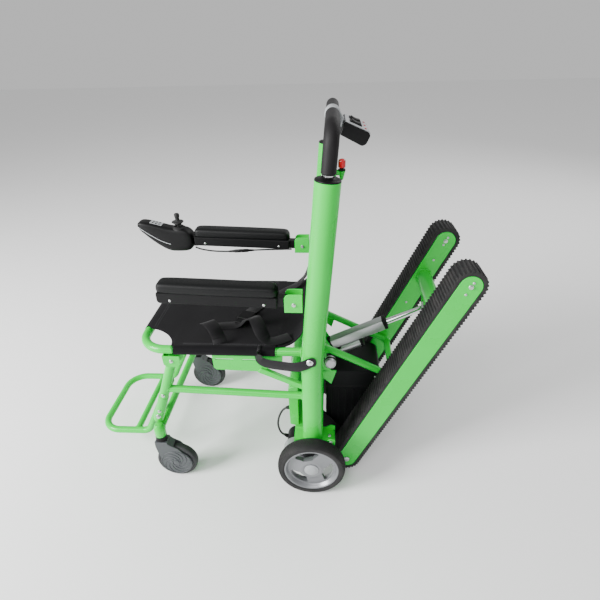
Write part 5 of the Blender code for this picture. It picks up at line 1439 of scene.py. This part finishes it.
bands, band_sides = [], []
for height in (0.560, 0.680, 0.800):
    run = (height - back_low) / (back_high - back_low)
    line = [back_point(u / 20, run) + Vector((0, 0.0018, 0)) for u in range(-20, 21)]
    bands.append(line)
    band_sides.append([lean] * len(line))
fit("back_bands", webbing_mesh("bands", bands, 0.038, 0.0016, band_sides), webbing, "frame")
strips = []
for _, sign in SIDES:
    low_end, high_end = post_middle(back_low + 0.004), post_middle(back_high - 0.004)
    for front in (-0.0110, -0.0075):
        strips.append(swept([beside(0.1632 * sign, low_end) + Vector((0, front - 0.0010, 0)),
                             beside(0.1632 * sign, high_end) + Vector((0, front - 0.0010, 0))],
                            [(-0.0045, -0.0009), (0.0045, -0.0009), (0.0045, 0.0009), (-0.0045, 0.0009)]))
    for height in (0.540, 0.620, 0.740, 0.860):
        middle = post_middle(height)
        tab = [(middle.y - axle_y - 0.0115, height - 0.011), (middle.y - axle_y - 0.0095, height - 0.011),
               (middle.y - axle_y - 0.0085, height + 0.011), (middle.y - axle_y - 0.0105, height + 0.011)]
        strips.append(plate_x(tab, 0.1600 * sign, 0.1745 * sign))
make("sling_edge_strips", strips, steel_black, "frame")

# Rows of thread hold the hems: two along each rail, two behind the front edge and one round the back cloth.
thread, _, _ = finish_of("dark_sewing_thread", "#2A282E", 0.55, Sheen_Weight=0.3)
stitches = []


def stitch_row(place, length, lift):
    """Stitches 3.4 mm long every 5 mm along place(t), standing on the given side of the cloth."""
    count = int(length / 0.005)
    for i in range(count):
        t, step = (i + 0.5) / count, 0.25 / count
        along = (place(t + step) - place(t - step)).normalized()
        out = (lift - along * lift.dot(along)).normalized()
        stitches.append((place(t) + out * 0.0008, out, along))


for share in (0.745, 0.765, -0.745, -0.765):
    def rail_hem(t, reach=share * SEAT_CUT / 2):
        run = 0.32 + 0.46 * t
        return seat_point(reach / seat_row(run)[2], run)

    stitch_row(rail_hem, 0.195, Vector((0, 0, 1)))
for run in (0.105, 0.118):
    stitch_row(lambda t, r=run: seat_point(1.9 * t - 0.95, r), 0.190, Vector((0, 0, 1)))
for across in (0.93, -0.93):
    stitch_row(lambda t, a=across: back_point(a, 0.02 + 0.96 * t), 0.37, Vector((0, -1, 0)))
stitch_row(lambda t: back_point(1.86 * t - 0.93, 0.96), 0.31, Vector((0, -1, 0)))
stitch_shape = []
for x in (-0.0017, -0.0012, 0.0, 0.0012, 0.0017):
    thick = 0.00042 if abs(x) < 0.0015 else 0.0002
    stitch_shape.append((x, thick))
stitch_points = [Vector((x, thick * math.cos(a), thick * math.sin(a) * 0.8)) for x, thick in stitch_shape
                 for a in [math.pi * k / 3 for k in range(6)]]
one_stitch = (stitch_points, ring_faces(5, 6) + [tuple(range(6)), tuple(range(24, 30))])
seams = fit("sling_stitches", set_on("stitches", stitches, [one_stitch], thread), thread, "frame")

# ------------------------------------------------------------------ belts
# The lap belt lies loose on the seat in two upturned curls and ends in its buckle; the anchor strap loops
# round the left rail to a stud on the post.
belt_path = [(0.150, -0.060, 0.5000), (0.167, -0.092, 0.4985), (0.174, -0.116, 0.5010), (0.164, -0.133, 0.5130),
             (0.140, -0.148, 0.5300), (0.112, -0.162, 0.5335), (0.094, -0.178, 0.5200), (0.083, -0.198, 0.5005),
             (0.079, -0.225, 0.4880), (0.082, -0.258, 0.4865), (0.092, -0.286, 0.4900), (0.105, -0.300, 0.5010),
             (0.119, -0.300, 0.5210), (0.137, -0.286, 0.5330), (0.156, -0.268, 0.5260), (0.170, -0.255, 0.5080),
             (0.184, -0.248, 0.4970)]
far_path = [(-0.128, -0.0190, 0.5780), (-0.127, -0.0300, 0.5500), (-0.126, -0.0520, 0.5200),
            (-0.118, -0.090, 0.4970), (-0.080, -0.140, 0.4870), (-0.040, -0.170, 0.4855),
            (-0.004, -0.190, 0.4860), (0.018, -0.196, 0.4930)]
belts = webbing_mesh("lap_webbing", [smooth_line([spot(*p) for p in belt_path], 8),
                                     smooth_line([spot(*p) for p in far_path], 8)], 0.038, 0.0018)
fit("lap_webbing", belts, webbing, "frame", ["lap_belt"])
buckle = []
turn_buckle = Matrix.Rotation(math.radians(-18), 3, "Z")
for low, high in (((-0.030, -0.0215, 0.0), (0.012, 0.0215, 0.0085)),
                  ((0.012, -0.0170, 0.0015), (0.034, 0.0170, 0.0072)),
                  ((-0.022, -0.0245, 0.0022), (0.002, 0.0245, 0.0066))):
    corners = [turn_buckle @ Vector((x, y, z)) + spot(0.0420, -0.2040, 0.4868) for z in (low[2], high[2])
               for x, y in ((low[0], low[1]), (high[0], low[1]), (high[0], high[1]), (low[0], high[1]))]
    buckle.append((corners, ring_faces(2, 4) + [(0, 1, 2, 3), (4, 5, 6, 7)]))
make("side_release_buckle", buckle, moulded_abs, "frame", bevel=0.0016)
strap_path = [(0.2005, -0.1400, 0.4905), (0.2045, -0.1430, 0.4790), (0.2095, -0.1370, 0.4610),
              (0.2140, -0.1150, 0.4530), (0.2230, -0.0700, 0.4530), (0.2310, -0.0400, 0.4570),
              (0.2337, -0.0200, 0.4640), (0.2335, -0.0020, 0.4735), (0.2330, 0.0090, 0.4775),
              (0.2322, 0.0150, 0.4790)]
strap_line = smooth_line([spot(*p) for p in strap_path], 8)
level = [Vector((0, 0.30 * (1 - ease(i / 20)), 1)) for i in range(len(strap_line))]
fit("anchor_webbing", webbing_mesh("anchor", [strap_line], 0.030, 0.0022, [level], 0.011), webbing, "frame",
    ["anchor_strap"])
rail_loop = ring_at(spot(SEAT_X, -0.1405, SEAT_Z), (0, 1, 0), RAIL_R + 0.0030, 48)
loop_mesh = webbing_mesh("anchor_loop", [rail_loop + rail_loop[:2]], 0.009, 0.0018, [[Vector((0, 1, 0))] * 50])
fit("anchor_rail_loop", loop_mesh, webbing, "frame")

# ------------------------------------------------------------------ fasteners
# Zinc-plated hexagon bolts with washers hold the bolted joints; button-head screws hold the panel, the case
# and the sling strips.
zinc = grained("zinc_plated_steel", "#B9BCBB", "#CFD1CF", 0.30, 0.0022, 0.10, Metallic=0.9)


def hex_bolt(scale):
    """A washer and a chamfered six-sided head, standing on Z."""
    points = []
    for radius, z in ((4.35, 0.9), (4.35, 3.6), (3.9, 4.2)):
        points += [Vector((radius * math.cos(math.pi * k / 3), radius * math.sin(math.pi * k / 3),
                           z)) * scale / 1000
                   for k in range(6)]
    washer = [(0.0, 0.0), (0.0, 5.6), (0.7, 5.7), (1.0, 5.4), (1.0, 0.0)]
    return [(points, ring_faces(3, 6) + [tuple(range(6)), tuple(range(12, 18))]),
            turned([(a * scale / 1000, r * scale / 1000) for a, r in washer], (0, 0, 1), (0, 0, 0), 28)]


def button_screw(scale):
    """A domed head with a six-sided socket in it."""
    dome = [(0.0, 0.0), (0.0, 4.4), (0.5, 4.5), (1.4, 4.0), (2.1, 2.9), (2.3, 1.7), (1.1, 1.6), (1.1, 0.0)]
    return [turned([(a * scale / 1000, r * scale / 1000) for a, r in dome], (0, 0, 1), (0, 0, 0), 24)]


def pair(points, direction, other=(0, 0, 1)):
    """The same place on the left and the right, with the left's direction mirrored."""
    return [(spot(sign * x, y, z), Vector((direction[0] * sign, direction[1], direction[2])).normalized(),
             Vector(other))
            for x, y, z in points for _, sign in SIDES]


frame_bolts = pair([(0.2073, -0.386, 0.4490), (0.2053, -0.4328, 0.3200), (0.2053, -0.4550, 0.2580)], (1, 0, 0))
frame_bolts += pair([(0.2004, -0.042, 0.6300)], (1, 0, 0)) + pair([(0.1675, -0.042, 0.6300)], (-1, 0, 0))
frame_bolts += pair([(0.2305, 0.0560, 0.1780)], (1, 0, 0)) + pair([(0.2285, -0.046, 0.1540)], (1, 0, 0))
frame_bolts += pair([(0.0240, 0.035, 0.3640)], (1, 0, 0)) + pair([(0.2000, 0.0520, 0.1722)], (0, 0, 1),
                                                                 (1, 0, 0))
frame_bolts += pair([(0.2280, -0.0780, 0.1120), (0.2280, -0.0300, 0.1440), (0.2280, -0.0300, 0.0800)],
                    (1, 0, 0))
fit("frame_bolts", set_on("frame_bolts", frame_bolts, hex_bolt(1.0), zinc), zinc, "frame")
leg_stops = pair([(0.2050, -0.4620, 0.2370)], (1, 0, 0))
fit("leg_stop_bolts", set_on("leg_stops", leg_stops, hex_bolt(1.35), zinc), zinc, "frame")
panel_screws = pair([(0.1480, -0.0690, 0.1950), (0.1480, -0.0712, 0.3000)], (0, -1, 0.02), (1, 0, 0))
panel_screws += pair([(0.0830, 0.0500, 0.3130), (0.0830, 0.1900, 0.3070), (0.0830, 0.0500, 0.0900),
                      (0.0830, 0.1780, 0.0930)], (1, 0, 0))
for height in (0.540, 0.620, 0.740, 0.860):
    middle = post_middle(height)
    panel_screws += pair([(0.1640, middle.y - axle_y - 0.0132, height)], (0, -1, 0), (1, 0, 0))
fit("small_screws", set_on("small_screws", panel_screws, button_screw(0.8), zinc), zinc, "frame")
stud = [(0.0, 0.0), (0.0, 0.0088), (0.0008, 0.0090), (0.0016, 0.0082), (0.0018, 0.0060), (0.0034, 0.0058),
        (0.0046, 0.0042), (0.0050, 0.0)]
make("strap_stud", [turned(stud, (1, 0, 0), spot(0.2342, -0.0020, 0.4745), 36)], chrome, "frame")
head_bolts, side_screws = [], []
for _, sign in SIDES:
    for edge, places in ((0.1814, (track_length + 0.0125, track_length - 0.0230)),
                         (0.1056, (track_length + 0.0125, track_length - 0.0125, track_length - 0.0680,
                                   0.4550))):
        out = Vector((sign if edge > 0.15 else -sign, 0, 0))
        head_bolts.append((on_track(track_length, 0.0, edge * sign), out, track_up))
        side_screws += [(on_track(up, 0.0, edge * sign), out, track_up) for up in places]
fit("track_head_bolts", set_on("head_bolts", head_bolts, hex_bolt(1.15), zinc), zinc, "tracks")
fit("track_side_screws", set_on("side_screws", side_screws, button_screw(0.85), zinc), zinc, "tracks")
ear_heads = [(beside(0.0200 * sign, rod_pin), Vector((sign, 0, 0)), Vector((0, 0, 1))) for _, sign in SIDES]
fit("rod_pin_heads", set_on("pin_heads", ear_heads, button_screw(1.2), zinc), zinc, "tracks")
for side, sign in SIDES:
    cover = [(spot(0.184 * sign + edge, *on_arm(f, 0.0)), Vector((edge, 0, 0)).normalized(), Vector((0, 0, 1)))
             for edge in (0.0228, -0.0228) for f in (0.075, 0.315)]
    fit(f"arm_screws_{side}", set_on("arm_screws", cover, button_screw(0.8), zinc), zinc, f"arm_{side}")
